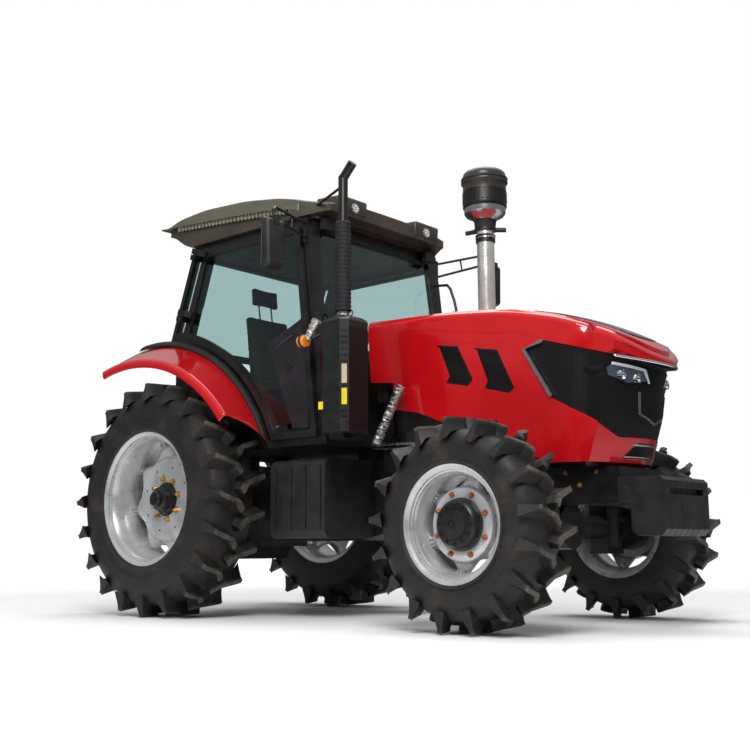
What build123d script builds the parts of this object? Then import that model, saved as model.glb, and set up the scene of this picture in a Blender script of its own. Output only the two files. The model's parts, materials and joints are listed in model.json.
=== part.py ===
from build123d import *
import math
import os

os.makedirs("parts", exist_ok=True)

# ---------------------------------------------------------------------------
# Farm tractor, about 160 hp, four-wheel drive, with an enclosed cab.
# Millimetres.  +X is forward, +Y is the driver's left, +Z is up.
# The origin is on the ground, midway along the machine, on its centre plane.
# Stations along the machine are given ahead of the rear axle.
# ---------------------------------------------------------------------------

# Stance
wheelbase = 2854
rear_reach = 1150            # rear axle back to the tips of the lower links
front_reach = wheelbase + 936            # rear axle forward to the face of the weights
rear_x = (rear_reach - front_reach) / 2
door_gap = 6                 # running gap between a door or lid and its frame
pin_gap = 0.08               # radial play of a pin in its bore
end_gap = 6                  # side play between a moving piece and its neighbour
bearing_gap = 0.3            # face of a hub to the face that carries it

# Wheels: track, lug tip radius, section width, lug height, lugs a side,
# bead seat radius, rim flange radius, half width over the flanges
rear_track, rear_radius, rear_width = 1932, 878, 447
rear_lug_height, rear_lugs = 74, 20
rear_bead, rear_flange, rear_rim_half = 483, 508, 215
front_track, front_radius, front_width = 1936, 633, 373
front_lug_height, front_lugs = 62, 17
front_bead, front_flange, front_rim_half = 330, 356, 180
rim_wall = 12
flange_width = 12
disc_thickness = 12
wheel_sides = 28             # flats of a tyre's bore and of the rim in it
bar_sides = 16               # flats of a bar or barrel that nothing turns in

# Cab
cab_half_width = 800         # outer faces of the closed doors
door_thickness = 30
pillar_depth = 65
cab_floor_z = 1225
cab_top_z = 2900
cab_foot_x = 1500
cab_head_x = 1300
cab_rear_head_x = 20
cab_rear_foot_x = -260
pillar_width = 85
corner_glass_width = 95
glass_thickness = 6
wheelhouse_half_width = 700
frame_face = cab_half_width - door_thickness - door_gap

# The arch that fender, cab side and door share; its outer lip leans forward and down
arch_x, arch_z, arch_radius = -420, 710, 1445
lip_lead, lip_drop = 156, 178
fender_half_width = 1150
fender_sheet = 10
fender_skirt = 62
fender_back, fender_lip_back = -550, -640
fender_flats = 18
fender_lip_foot_z = 1440     # the fender's front edge rises to its outer lip
door_arch_rise = 60

# Hood
hood_half_width = 420
hood_rear_x = 1583
hood_wall = 16
mask_step = 6
hood_hinge_x, hood_hinge_z = 1640, 2075
hood_rear_z = 2152           # top edge at the cab
hood_crest_x, hood_crest_z = 2350, 2122
nose_x = wheelbase + 636     # foot of the nose
hood_brow_x, hood_brow_z = nose_x + 150, 1752
hood_cut_front_x = nose_x + 310          # past the tip of the nose
stack_x = 2345
stack_radius = 62

# Driveline
belly_z = 558
rail_half_width = 262
engine_half_width = 235
kingpin_y = 720
kingpin_radius = 26
rod_lag = 190                # steering rod behind the front axle
rod_radius = 16
rod_half = 700
knuckle_radius = 84
fork_reach = 140             # axle height to the inner faces of the fork

# Hitch
link_pivot = (-60, 300, 480)
link_ball = (-1110, 505, 600)
link_eye_radius = 40
link_bore_radius = 18.7
rockshaft_x, rockshaft_z = -180, 1130
lift_arm_y = 400
lift_arm_tip = (-520, 1200)
rockshaft_radius = 38
link_pin_radius = 18
lift_pin_radius = 14
lift_rod_y = 450
top_link_foot = (-372, 900)
top_link_ball = (-930, 990)
top_link_half = 26
top_pin_radius = 12.5
top_eye_radius = 30

# Construction planes: side view and ground plan
side = Plane(origin=(rear_x, 0, 0), x_dir=(1, 0, 0), z_dir=(0, -1, 0))
ground = Plane(origin=(rear_x, 0, 0))


def station(x):
    """Cross-section plane at a distance ahead of the rear axle."""
    return Plane.YZ.offset(rear_x + x)


def at(x, y, z):
    """A point given ahead of the rear axle."""
    return (rear_x + x, y, z)


def outline(*points):
    """A filled outline with straight edges, in the current sketch."""
    return Polygon(*points, align=None)


def plate(plane, points, start, thickness):
    """A straight-edged outline extruded from an offset of its plane."""
    with BuildPart() as made:
        with BuildSketch(plane.offset(start)):
            outline(*points)
        extrude(amount=thickness)
    return made.part


def bar(start, end, radius):
    """A bar of even flats between two points."""
    a, b = Vector(*start), Vector(*end)
    with BuildPart() as made:
        with BuildSketch(Plane(origin=a, z_dir=b - a)):
            RegularPolygon(radius, bar_sides)
        extrude(amount=(b - a).length)
    return made.part


def shaft(start, end, radius):
    """A round pin, shaft or pipe between two points."""
    a, b = Vector(*start), Vector(*end)
    with BuildPart() as made:
        with BuildSketch(Plane(origin=a, z_dir=b - a)):
            Circle(radius)
        extrude(amount=(b - a).length)
    return made.part


def block(x, y, z):
    """A square-edged block between stations, sides and heights."""
    with BuildPart() as made:
        with BuildSketch(ground.offset(z[0])):
            outline((x[0], y[0]), (x[1], y[0]), (x[1], y[1]), (x[0], y[1]))
        extrude(amount=z[1] - z[0])
    return made.part


def arch_height(x, centre_x, centre_z, radius):
    """Height of an arch's arc at a station."""
    return centre_z + math.sqrt(radius ** 2 - (x - centre_x) ** 2)


def arch_station(z, centre_x, centre_z, radius):
    """Station of an arch's arc ahead of its centre, at a height."""
    return centre_x + math.sqrt(radius ** 2 - (z - centre_z) ** 2)


def other_side(piece):
    """The same piece on the tractor's left."""
    return mirror(piece, about=Plane.XZ)


def save(name, piece):
    piece.label = name
    export_step(piece, "parts/" + name + ".step")


# ---------------------------------------------------------------------------
# Wheels, right side; the left ones are mirrored
# ---------------------------------------------------------------------------

def make_tyre(axle_x, track, radius, width, lug_height, lugs, bead, flange, rim_half):
    """Tyre with tall chevron lugs on a carcass of flats."""
    centre = Vector(rear_x + axle_x, -track / 2, radius)
    lug_foot = 1.15 * lug_height
    crown = math.sqrt(radius ** 2 - lug_foot ** 2)
    tread = crown - lug_height
    shoulder = width / 2 - 45
    bulge = (bead + tread) / 2 + 30
    face = Plane(origin=centre, x_dir=(1, 0, 0), z_dir=(0, -1, 0))
    with BuildPart() as made:
        with BuildSketch(face):
            RegularPolygon(tread, lugs)
        extrude(amount=width / 2, both=True)
        for flat in (made.faces().sort_by(Axis.Y)[0], made.faces().sort_by(Axis.Y)[-1]):
            chamfer(flat.edges(), tread - bulge, width / 2 - shoulder, reference=flat)
        first = -90 - math.degrees(math.atan2(lug_foot, crown))
        for n in range(2 * lugs):
            hand = -1 if n % 2 else 1
            turn = math.radians(first + n * 180 / lugs)
            spoke = Plane(
                origin=centre,
                x_dir=(0, -hand, 0),
                z_dir=(math.cos(turn), 0, math.sin(turn)),
            )
            with BuildSketch(spoke.offset(tread - 14)):
                outline(
                    (-12, hand * 0.9 * lug_height),
                    (width / 2, -hand * 0.45 * lug_height),
                    (width / 2, -hand * lug_foot),
                    (-12, hand * 0.25 * lug_height),
                )
            extrude(amount=crown - tread + 14)
        with BuildSketch(face):
            RegularPolygon(bead, wheel_sides, major_radius=False)
        extrude(amount=width, both=True, mode=Mode.SUBTRACT)
        for hand in (1, -1):
            lip = Plane(origin=centre - Vector(0, hand * width, 0), x_dir=(1, 0, 0), z_dir=(0, hand, 0))
            with BuildSketch(lip):
                RegularPolygon(flange, wheel_sides, major_radius=False)
            extrude(amount=width - rim_half + flange_width, mode=Mode.SUBTRACT)
    return made.part


def scalloped(arms, tip_radius, tip_half, root_radius, root_half):
    """Outline of a wheel disc whose arms stand out between scallops."""
    points = []
    for n in range(arms):
        turn = n * math.tau / arms
        for radius, across in ((root_radius, -root_half), (tip_radius, -tip_half),
                               (tip_radius, tip_half), (root_radius, root_half)):
            points.append((radius * math.cos(turn) - across * math.sin(turn),
                           radius * math.sin(turn) + across * math.cos(turn)))
    outline(*points)


def make_wheel(axle_x, track, radius, bead, flange, rim_half, arms, arm_out, arm_half, dish_out, dish_radius,
               hub_radius, hub_in, hub_out):
    """Rim, dished disc and hub; 'out' is measured outboard of the wheel's centre."""
    centre = Vector(rear_x + axle_x, -track / 2, radius)
    face = Plane(origin=centre, x_dir=(1, 0, 0), z_dir=(0, -1, 0))
    seat = rim_half - flange_width
    with BuildPart() as made:
        with BuildSketch(face):
            RegularPolygon(flange, wheel_sides, major_radius=False)
        extrude(amount=rim_half, both=True)
        with BuildSketch(face):
            RegularPolygon(flange + flange_width, wheel_sides, major_radius=False)
            RegularPolygon(bead, wheel_sides, major_radius=False, mode=Mode.SUBTRACT)
        extrude(amount=seat, both=True, mode=Mode.SUBTRACT)
        with BuildSketch(face):
            RegularPolygon(bead - rim_wall, wheel_sides, major_radius=False)
        extrude(amount=rim_half, both=True, mode=Mode.SUBTRACT)
        # The arms bolt near the middle of the rim, and the dish stands out from them
        with BuildSketch(face.offset(arm_out)):
            scalloped(arms, bead - rim_wall / 2, arm_half, dish_radius, dish_radius * math.tan(math.pi / arms))
        extrude(amount=disc_thickness)
        with BuildSketch(face.offset(arm_out)):
            RegularPolygon(dish_radius, wheel_sides)
        extrude(amount=dish_out + disc_thickness - arm_out)
        with BuildSketch(face.offset(arm_out)):
            RegularPolygon(dish_radius - disc_thickness, wheel_sides)
        extrude(amount=dish_out - arm_out, mode=Mode.SUBTRACT)
        with BuildSketch(face.offset(hub_in)):
            Circle(hub_radius)
        extrude(amount=hub_out - hub_in)
    return made.part


rear_tyre = make_tyre(0, rear_track, rear_radius, rear_width, rear_lug_height, rear_lugs,
                      rear_bead, rear_flange, rear_rim_half)
front_tyre = make_tyre(wheelbase, front_track, front_radius, front_width, front_lug_height, front_lugs,
                       front_bead, front_flange, front_rim_half)
rear_hub_in, front_hub_in = 165, 95      # hub faces inboard of the wheels' centres
rear_wheel = make_wheel(0, rear_track, rear_radius, rear_bead, rear_flange, rear_rim_half,
                        8, -60, 62, -12, 322, 125, -rear_hub_in, 130)
front_wheel = make_wheel(wheelbase, front_track, front_radius, front_bead, front_flange, front_rim_half,
                         6, -10, 58, 54, 226, 157, -front_hub_in, 165)
save("tyre_rear_right", rear_tyre)
save("tyre_rear_left", other_side(rear_tyre))
save("tyre_front_right", front_tyre)
save("tyre_front_left", other_side(front_tyre))
save("wheel_rear_right", rear_wheel)
save("wheel_rear_left", other_side(rear_wheel))
save("wheel_front_right", front_wheel)
save("wheel_front_left", other_side(front_wheel))

rear_hub_y = rear_track / 2 - rear_hub_in
front_hub_y = front_track / 2 - front_hub_in

# ---------------------------------------------------------------------------
# Driveline and running gear
# ---------------------------------------------------------------------------

bell_x = 1760                # joint of transmission and engine
weight_length = 310
weight_x = front_reach - weight_length   # front face of the frame, which carries the weights
rail_foot_z, rail_top_z, rail_thickness = 760, 985, 34
axle_arch = 114              # half length of the rails' arch over the axle's post
axle_post_z = 850

with BuildPart() as front_frame:
    for y in (-rail_half_width, rail_half_width - rail_thickness):
        add(plate(side, ((bell_x, rail_foot_z), (wheelbase - axle_arch - 100, rail_foot_z),
                         (wheelbase - axle_arch, axle_post_z - 10), (wheelbase + axle_arch, axle_post_z - 10),
                         (wheelbase + axle_arch + 100, rail_foot_z), (weight_x, rail_foot_z),
                         (weight_x, rail_top_z), (bell_x, rail_top_z + 55)), -y - rail_thickness, rail_thickness))
    add(block((weight_x - 280, weight_x), (-rail_half_width, rail_half_width), (rail_foot_z, rail_top_z)))
    add(block((wheelbase - 94, wheelbase + 94), (-rail_half_width, rail_half_width),
              (axle_post_z, axle_post_z + 90)))
save("front_frame", front_frame.part)

with BuildPart() as engine_block:
    add(plate(side, ((bell_x + 20, 720), (wheelbase - 254, 720), (wheelbase - 174, axle_post_z),
                     (wheelbase - 94, 960), (wheelbase + 106, 960), (wheelbase + 106, 1620),
                     (bell_x + 20, 1620)), rail_thickness - rail_half_width,
              2 * (rail_half_width - rail_thickness)))
save("engine_block", engine_block.part)

axle_face_x, deck_z = 300, 1120          # front face of the axle housing, top of the castings
with BuildPart() as transmission_housing:
    add(plate(side, ((axle_face_x, belly_z), (1400, belly_z), (bell_x, 640), (bell_x, deck_z), (axle_face_x, deck_z)),
              -rail_half_width, 2 * rail_half_width))
save("transmission_housing", transmission_housing.part)

with BuildPart() as rear_axle_housing:
    add(plate(side, ((-340, 440), (-260, 420), (60, 420), (120, 520), (axle_face_x, 520), (axle_face_x, deck_z),
                     (-60, deck_z), (-60, 1000), (-340, 960)), -rail_half_width, 2 * rail_half_width))
    add(bar(at(0, -rear_hub_y + bearing_gap, rear_radius), at(0, rear_hub_y - bearing_gap, rear_radius), 110))
    for y in (-1, 1):
        add(shaft(at(link_pivot[0], y * (rail_half_width - 20), link_pivot[2]),
                  at(link_pivot[0], y * (link_pivot[1] + 45), link_pivot[2]), link_pin_radius))
    # Cradle of the rockshaft and the top link's clevis
    for y in (-1, 1):
        near, far = sorted((y * 200, y * 250))
        add(plate(side, ((-60, 960), (-60, 1120), (-120, 1190), (-240, 1190), (-300, 1130), (-300, 960)),
                  near, far - near))
        near, far = sorted((y * (top_link_half + end_gap), y * (top_link_half + end_gap + 16)))
        add(plate(side, ((-320, 860), (-400, 860), (-410, 930), (-360, 960), (-320, 960)), near, far - near))
    with BuildSketch(side):
        with Locations((rockshaft_x, rockshaft_z)):
            Circle(rockshaft_radius + pin_gap)
    extrude(amount=300, both=True, mode=Mode.SUBTRACT)
    with BuildSketch(side):
        with Locations((rockshaft_x, rockshaft_z)):
            Circle(rockshaft_radius + end_gap)
    extrude(amount=199, both=True, mode=Mode.SUBTRACT)
    add(shaft(at(top_link_foot[0], -top_link_half - end_gap - 16, top_link_foot[1]),
              at(top_link_foot[0], top_link_half + end_gap + 16, top_link_foot[1]), top_pin_radius))
save("rear_axle_housing", rear_axle_housing.part)

kingpin_foot = 70            # inner end of each kingpin above or below the axle
rod_z = front_radius + 45
with BuildPart() as front_axle:
    add(bar(at(wheelbase, -600, front_radius), at(wheelbase, 600, front_radius), 82))
    add(bar(at(wheelbase - 130, 0, front_radius), at(wheelbase + 130, 0, front_radius), 150))
    add(block((wheelbase - 90, wheelbase + 90), (-150, 150), (front_radius, axle_post_z)))
    for y in (-1, 1):
        for z in (-1, 1):
            ends = sorted((y * 560, y * (kingpin_y + 60)))
            inner = front_radius + z * fork_reach
            outer = front_radius + z * (fork_reach + 40)
            add(block((wheelbase - 70, wheelbase + 70), ends, sorted((inner, outer))))
            add(shaft(at(wheelbase, y * kingpin_y, inner + z * 2),
                      at(wheelbase, y * kingpin_y, front_radius + z * kingpin_foot), kingpin_radius))
        web = sorted((y * 560, y * 602))
        add(block((wheelbase - 70, wheelbase + 70), web,
                  (front_radius - fork_reach - 10, front_radius + fork_reach + 10)))
    # Steering cylinder, open end to end for its rod
    add(bar(at(wheelbase - rod_lag, -240, rod_z), at(wheelbase - rod_lag, 240, rod_z), 38))
    for y in (-200, 160):
        add(block((wheelbase - rod_lag, wheelbase - 60), (y, y + 40), (front_radius, front_radius + 60)))
    with BuildSketch(side):
        with Locations((wheelbase - rod_lag, rod_z)):
            Circle(rod_radius + pin_gap)
    extrude(amount=300, both=True, mode=Mode.SUBTRACT)
save("front_axle", front_axle.part)

with BuildPart() as knuckle:
    add(bar(at(wheelbase, -kingpin_y, front_radius - fork_reach + end_gap),
            at(wheelbase, -kingpin_y, front_radius + fork_reach - end_gap), knuckle_radius))
    add(bar(at(wheelbase, -kingpin_y, front_radius), at(wheelbase, -front_hub_y + bearing_gap, front_radius), 105))
    with BuildSketch(ground.offset(front_radius - 15)):
        outline((wheelbase - 60, -rod_half + 20), (wheelbase - rod_lag - 25, -rod_half + 25),
                (wheelbase - rod_lag - 25, -rod_half - 25), (wheelbase - 60, -rod_half - 60))
    extrude(amount=25)
    for z in (-1, 1):
        with BuildSketch(ground.offset(front_radius + z * fork_reach)):
            with Locations((wheelbase, -kingpin_y)):
                Circle(kingpin_radius + pin_gap)
        extrude(amount=-z * (fork_reach - kingpin_foot + end_gap), mode=Mode.SUBTRACT)
save("knuckle_right", knuckle.part)
save("knuckle_left", other_side(knuckle.part))

with BuildPart() as steering_rod:
    add(shaft(at(wheelbase - rod_lag, -rod_half, rod_z), at(wheelbase - rod_lag, rod_half, rod_z), rod_radius))
    for y in (-rod_half, rod_half):
        add(bar(at(wheelbase - rod_lag, y, rod_z - 22), at(wheelbase - rod_lag, y, rod_z + 22), 27))
save("steering_rod", steering_rod.part)


# ---------------------------------------------------------------------------
# Rear hitch
# ---------------------------------------------------------------------------

def rod_with_eyes(foot, tip, radius, eye, eye_half, foot_bore, tip_bore):
    """A bar with a cross bore in an eye at each end; None leaves an end plain."""
    with BuildPart() as made:
        add(bar(at(*foot), at(*tip), radius))
        for (x, y, z), bore in ((foot, foot_bore), (tip, tip_bore)):
            add(bar(at(x, y - eye_half, z), at(x, y + eye_half, z), eye))
        for (x, y, z), bore in ((foot, foot_bore), (tip, tip_bore)):
            if bore:
                with BuildSketch(side.offset(-y)):
                    with Locations((x, z)):
                        Circle(bore)
                extrude(amount=2 * eye_half, both=True, mode=Mode.SUBTRACT)
    return made.part


def right(point):
    """The same point on the tractor's right."""
    return (point[0], -point[1], point[2])


lower_link = rod_with_eyes(right(link_pivot), right(link_ball), 19, link_eye_radius, 22,
                           link_pin_radius + pin_gap, link_bore_radius)
save("lower_link_right", lower_link)
save("lower_link_left", other_side(lower_link))

with BuildPart() as lift_arms:
    add(shaft(at(rockshaft_x, -lift_arm_y - 25, rockshaft_z), at(rockshaft_x, lift_arm_y + 25, rockshaft_z),
              rockshaft_radius))
    for y in (-1, 1):
        near, far = sorted((y * (lift_arm_y - 17), y * (lift_arm_y + 17)))
        add(plate(side, ((-110, 1085), (-110, 1180), (-200, 1200), (-520, 1240), (-552, 1222), (-552, 1182),
                         (-510, 1165), (-210, 1060)), near, far - near))
        add(shaft(at(lift_arm_tip[0], y * lift_arm_y, lift_arm_tip[1]),
                  at(lift_arm_tip[0], y * (lift_rod_y + 18), lift_arm_tip[1]), lift_pin_radius))
save("lift_arms", lift_arms.part)

lift_rod = rod_with_eyes((lift_arm_tip[0], -lift_rod_y, lift_arm_tip[1]), (-600, -lift_rod_y, 560), 15, 30, 12,
                         lift_pin_radius + pin_gap, None)
save("lift_rod_right", lift_rod)
save("lift_rod_left", other_side(lift_rod))

top_link = rod_with_eyes((top_link_foot[0], 0, top_link_foot[1]), (top_link_ball[0], 0, top_link_ball[1]), 20,
                         top_eye_radius, top_link_half, top_pin_radius + pin_gap, 12.9)
save("top_link", top_link)

with BuildPart() as drawbar:
    add(block((-560, -342), (-45, 45), (440, 480)))
    add(block((-350, -340), (-60, 60), (430, 490)))
    with BuildSketch(ground.offset(430)):
        with Locations((-515, 0)):
            Circle(16.5)
    extrude(amount=60, mode=Mode.SUBTRACT)
save("drawbar", drawbar.part)

save("pto_shaft", shaft(at(-340, 0, 640), at(-425, 0, 640), 17.5))

# ---------------------------------------------------------------------------
# Weights, tank and steps
# ---------------------------------------------------------------------------

weight_half = 300
with BuildPart() as front_weights:
    add(plate(side, ((weight_x, rail_foot_z), (weight_x + 80, rail_foot_z), (weight_x + 80, 600),
                     (weight_x + 120, 560), (front_reach - 30, 560), (front_reach, 600), (front_reach, 890),
                     (front_reach - 25, 915), (weight_x, 915)), -weight_half, 2 * weight_half))
    add(block((front_reach - 70, front_reach + 10), (-170, 170), (785, 930)), mode=Mode.SUBTRACT)
save("front_weights", front_weights.part)

tank_x, tank_z, tank_half_width = (935, 1480), (570, 1130), 760
tank_corner, tank_rib = 60, 8
with BuildPart() as fuel_tank:
    add(block(tank_x, (-tank_half_width, -rail_half_width), tank_z))
    fillet(fuel_tank.edges().filter_by(Axis.X).group_by(Axis.Y)[0], tank_corner)
    for x in (963, 1119, 1260, 1404):
        add(block((x, x + 36), (-tank_half_width - tank_rib, -tank_half_width + tank_rib),
                  (tank_z[0] + tank_corner, tank_z[1] - tank_corner)))
save("fuel_tank", fuel_tank.part)

with BuildPart() as cab_steps:
    add(block(tank_x, (rail_half_width, 560), tank_z))
    for z in (480, 780, 1080):
        add(block((1010, 1400), (560, 800), (z, z + 30)))
    for x in (1000, 1390):
        add(block((x, x + 20), (540, 800), (470, 1130)))
save("cab_steps", cab_steps.part)

# ---------------------------------------------------------------------------
# Cab
# ---------------------------------------------------------------------------

def slanted(z, foot, head):
    """Station of a line from its foot at the floor to its head at the roof."""
    share = (z - cab_floor_z) / (cab_top_z - cab_floor_z)
    return foot + share * (head - foot)


arch_rear = (cab_rear_foot_x, arch_height(cab_rear_foot_x, arch_x, arch_z, arch_radius))
arch_front = (arch_station(cab_floor_z, arch_x, arch_z, arch_radius), cab_floor_z)


def rear_line(z, ahead):
    """A station on the cab's raked rear post, shifted ahead."""
    share = (z - arch_rear[1]) / (cab_top_z - arch_rear[1])
    return cab_rear_foot_x + share * (cab_rear_head_x - cab_rear_foot_x) + ahead


def cab_side_outline(front_in, head_in, floor_in, rise, rear_in):
    """Side outline of the cab, drawn inside its edges by the given widths."""
    low, high = cab_floor_z + floor_in, cab_top_z - head_in
    radius = arch_radius + rise
    rear_x_low = rear_line(arch_rear[1] + rise, rear_in)
    rear_low = (rear_x_low, arch_height(rear_x_low, arch_x, arch_z, radius))
    front_low = (arch_station(low, arch_x, arch_z, radius), low)
    with BuildLine() as edge:
        RadiusArc(rear_low, front_low, radius)
        Polyline(front_low, (slanted(low, cab_foot_x, cab_head_x) - front_in, low),
                 (slanted(high, cab_foot_x, cab_head_x) - front_in, high),
                 (rear_line(high, rear_in), high), rear_low)
    return make_face(edge.edges())


corner_in = 40
opening_rear_in = corner_in + corner_glass_width + pillar_width
overlap = 25                 # how far a door laps over its frame
opening_rise = door_arch_rise + overlap
head_depth = 95
sill_depth = 75
screen_foot_z, screen_head_z = 1560, cab_top_z - 85
screen_half = frame_face - 85
back_foot_z, back_head_z = arch_rear[1] + 20, cab_top_z - 80
back_half = frame_face - 60
cab_wall = 55

with BuildPart() as cab_frame:
    with BuildSketch(side):
        cab_side_outline(0, 0, 0, 0, 0)
    extrude(amount=frame_face, both=True)
    with BuildSketch(side):
        cab_side_outline(pillar_width, head_depth, sill_depth, opening_rise, opening_rear_in)
    extrude(amount=frame_face, both=True, mode=Mode.SUBTRACT)
    # Corner window behind each door
    with BuildSketch(side):
        outline((rear_line(back_foot_z + 60, corner_in), back_foot_z + 60),
                (rear_line(back_foot_z + 60, corner_in + corner_glass_width), back_foot_z + 60),
                (rear_line(back_head_z, corner_in + corner_glass_width), back_head_z),
                (rear_line(back_head_z, corner_in), back_head_z))
    extrude(amount=frame_face, both=True, mode=Mode.SUBTRACT)
    # Inside of the cage
    with BuildSketch(side):
        outline((slanted(1150, cab_foot_x, cab_head_x) - cab_wall, 1150),
                (slanted(cab_top_z - 60, cab_foot_x, cab_head_x) - cab_wall, cab_top_z - 60),
                (rear_line(cab_top_z - 60, cab_wall), cab_top_z - 60),
                (rear_line(1150, cab_wall), 1150))
    extrude(amount=frame_face - pillar_depth, both=True, mode=Mode.SUBTRACT)
    # Windscreen and rear window openings
    with BuildSketch(station(cab_head_x - 120)):
        outline((-screen_half, screen_foot_z), (screen_half, screen_foot_z),
                (screen_half - 30, screen_head_z), (-screen_half + 30, screen_head_z))
    extrude(amount=400, mode=Mode.SUBTRACT)
    with BuildSketch(station(cab_rear_foot_x - 50)):
        outline((-back_half, arch_rear[1] - 40), (back_half, arch_rear[1] - 40),
                (back_half, back_head_z), (-back_half, back_head_z))
    extrude(amount=380, mode=Mode.SUBTRACT)
save("cab_frame", cab_frame.part)

with BuildPart() as windscreen:
    foot = slanted(screen_foot_z, cab_foot_x, cab_head_x) - 30
    head = slanted(screen_head_z, cab_foot_x, cab_head_x) - 30
    with BuildSketch(side):
        outline((foot, screen_foot_z), (foot + glass_thickness, screen_foot_z),
                (head + glass_thickness, screen_head_z), (head, screen_head_z))
    extrude(amount=screen_half, both=True)
    with BuildSketch(station(cab_head_x - 120)):
        outline((-screen_half, screen_foot_z), (screen_half, screen_foot_z),
                (screen_half - 30, screen_head_z), (-screen_half + 30, screen_head_z))
    extrude(amount=400, mode=Mode.INTERSECT)
save("windscreen", windscreen.part)

with BuildPart() as corner_glass:
    for y in (frame_face - 20, -frame_face + 20 - glass_thickness):
        with BuildSketch(side.offset(y)):
            outline((rear_line(back_foot_z + 60, corner_in), back_foot_z + 60),
                    (rear_line(back_foot_z + 60, corner_in + corner_glass_width), back_foot_z + 60),
                    (rear_line(back_head_z, corner_in + corner_glass_width), back_head_z),
                    (rear_line(back_head_z, corner_in), back_head_z))
        extrude(amount=glass_thickness)
save("corner_glass", corner_glass.part)

# Rear window, hung from its top edge and lapping over the frame outside
back_hinge_z = back_head_z + 52
back_hinge_x = rear_line(back_hinge_z, -22)
back_hinge_sides = (-380, 380)
back_pin_radius = 6
with BuildPart() as rear_window:
    with BuildSketch(side):
        outline((rear_line(arch_rear[1] + 8, -door_gap), arch_rear[1] + 8),
                (rear_line(back_head_z + 30, -door_gap), back_head_z + 30),
                (rear_line(back_head_z + 30, -door_gap - 10), back_head_z + 30),
                (rear_line(arch_rear[1] + 8, -door_gap - 10), arch_rear[1] + 8))
    extrude(amount=back_half + overlap, both=True)
    for y in back_hinge_sides:
        add(bar(at(back_hinge_x, y - 16, back_hinge_z), at(back_hinge_x, y + 16, back_hinge_z), 13))
        add(plate(side, ((back_hinge_x - 5, back_hinge_z), (back_hinge_x + 5, back_hinge_z),
                         (rear_line(back_head_z + 20, -door_gap), back_head_z + 20),
                         (rear_line(back_head_z + 20, -door_gap - 10), back_head_z + 20)), -y - 16, 32))
    with BuildSketch(side):
        with Locations((back_hinge_x, back_hinge_z)):
            Circle(back_pin_radius + pin_gap)
    extrude(amount=back_half, both=True, mode=Mode.SUBTRACT)
save("rear_window", rear_window.part)

with BuildPart() as rear_hinges:
    for y in back_hinge_sides:
        add(shaft(at(back_hinge_x, y - 34, back_hinge_z), at(back_hinge_x, y + 18, back_hinge_z), back_pin_radius))
        add(bar(at(back_hinge_x, y - 34, back_hinge_z), at(back_hinge_x, y - 22, back_hinge_z), 13))
        add(plate(side, ((back_hinge_x, back_hinge_z + 12), (back_hinge_x, back_hinge_z - 12),
                         (rear_line(back_hinge_z - 12, 0), back_hinge_z - 12),
                         (rear_line(back_hinge_z + 12, 0), back_hinge_z + 12)), -y + 22, 12))
save("rear_window_hinges", rear_hinges.part)

# Floor, wheelhouse walls and rear wall
tub_wall = 12
tub_step_x, tub_step_z = -60, 1490
with BuildPart() as cab_tub:
    add(block((tub_step_x, cab_foot_x - cab_wall - 20), (pillar_depth - frame_face, frame_face - pillar_depth),
              (cab_floor_z, cab_floor_z + 40)))
    # The rear of the floor steps up over the lift arms
    add(block((tub_step_x, tub_step_x + tub_wall), (tub_wall - wheelhouse_half_width, wheelhouse_half_width - tub_wall),
              (cab_floor_z, tub_step_z)))
    add(block((cab_rear_foot_x, tub_step_x + tub_wall), (tub_wall - wheelhouse_half_width, wheelhouse_half_width - tub_wall),
              (tub_step_z - tub_wall, tub_step_z)))
    for y in (-wheelhouse_half_width, wheelhouse_half_width - tub_wall):
        with BuildSketch(side.offset(-y - tub_wall)):
            with BuildLine() as edge:
                RadiusArc(arch_rear, arch_front, arch_radius)
                Polyline(arch_front, (cab_rear_foot_x, cab_floor_z), arch_rear)
            make_face(edge.edges())
        extrude(amount=tub_wall)
    add(block((cab_rear_foot_x, cab_rear_foot_x + tub_wall), (-wheelhouse_half_width, wheelhouse_half_width),
              (tub_step_z - tub_wall, arch_rear[1])))
    add(block((cab_rear_foot_x - 5, cab_rear_foot_x + 20), (-520, 520), (1720, arch_rear[1] - 60)),
        mode=Mode.SUBTRACT)
    for y in (-frame_face, wheelhouse_half_width - tub_wall):
        with BuildSketch(side.offset(-y - (frame_face - wheelhouse_half_width + tub_wall))):
            with BuildLine() as edge:
                RadiusArc(arch_rear, arch_front, arch_radius)
                inner_front = (arch_station(cab_floor_z, arch_x, arch_z, arch_radius - tub_wall), cab_floor_z)
                inner_rear = (cab_rear_foot_x, arch_height(cab_rear_foot_x, arch_x, arch_z, arch_radius - tub_wall))
                Line(arch_front, inner_front)
                RadiusArc(inner_front, inner_rear, -arch_radius + tub_wall)
                Line(inner_rear, arch_rear)
            make_face(edge.edges())
        extrude(amount=frame_face - wheelhouse_half_width + tub_wall)
save("cab_tub", cab_tub.part)

# Cab mountings on the driveline
with BuildPart() as cab_mounts:
    for x in (60, 1330):
        for y in (-1, 1):
            near, far = sorted((y * (rail_half_width - 120), y * (rail_half_width - 20)))
            add(block((x, x + 90), (near, far), (1120, cab_floor_z)))
save("cab_mounts", cab_mounts.part)

# ---------------------------------------------------------------------------
# Doors, hung on raked hinges behind their rear edge
# ---------------------------------------------------------------------------
hinge_y = -cab_half_width - 80
hinge_low_z, hinge_high_z = arch_rear[1] + 174, cab_top_z + 20
hinge_low = (rear_line(hinge_low_z, 195), hinge_y, hinge_low_z)
hinge_high = (rear_line(hinge_high_z, 173), hinge_y, hinge_high_z)
hinge_pin_radius = 10
hinge_eye_radius = 26
hinge_heights = (hinge_low_z + 10, cab_top_z - 100)


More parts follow.
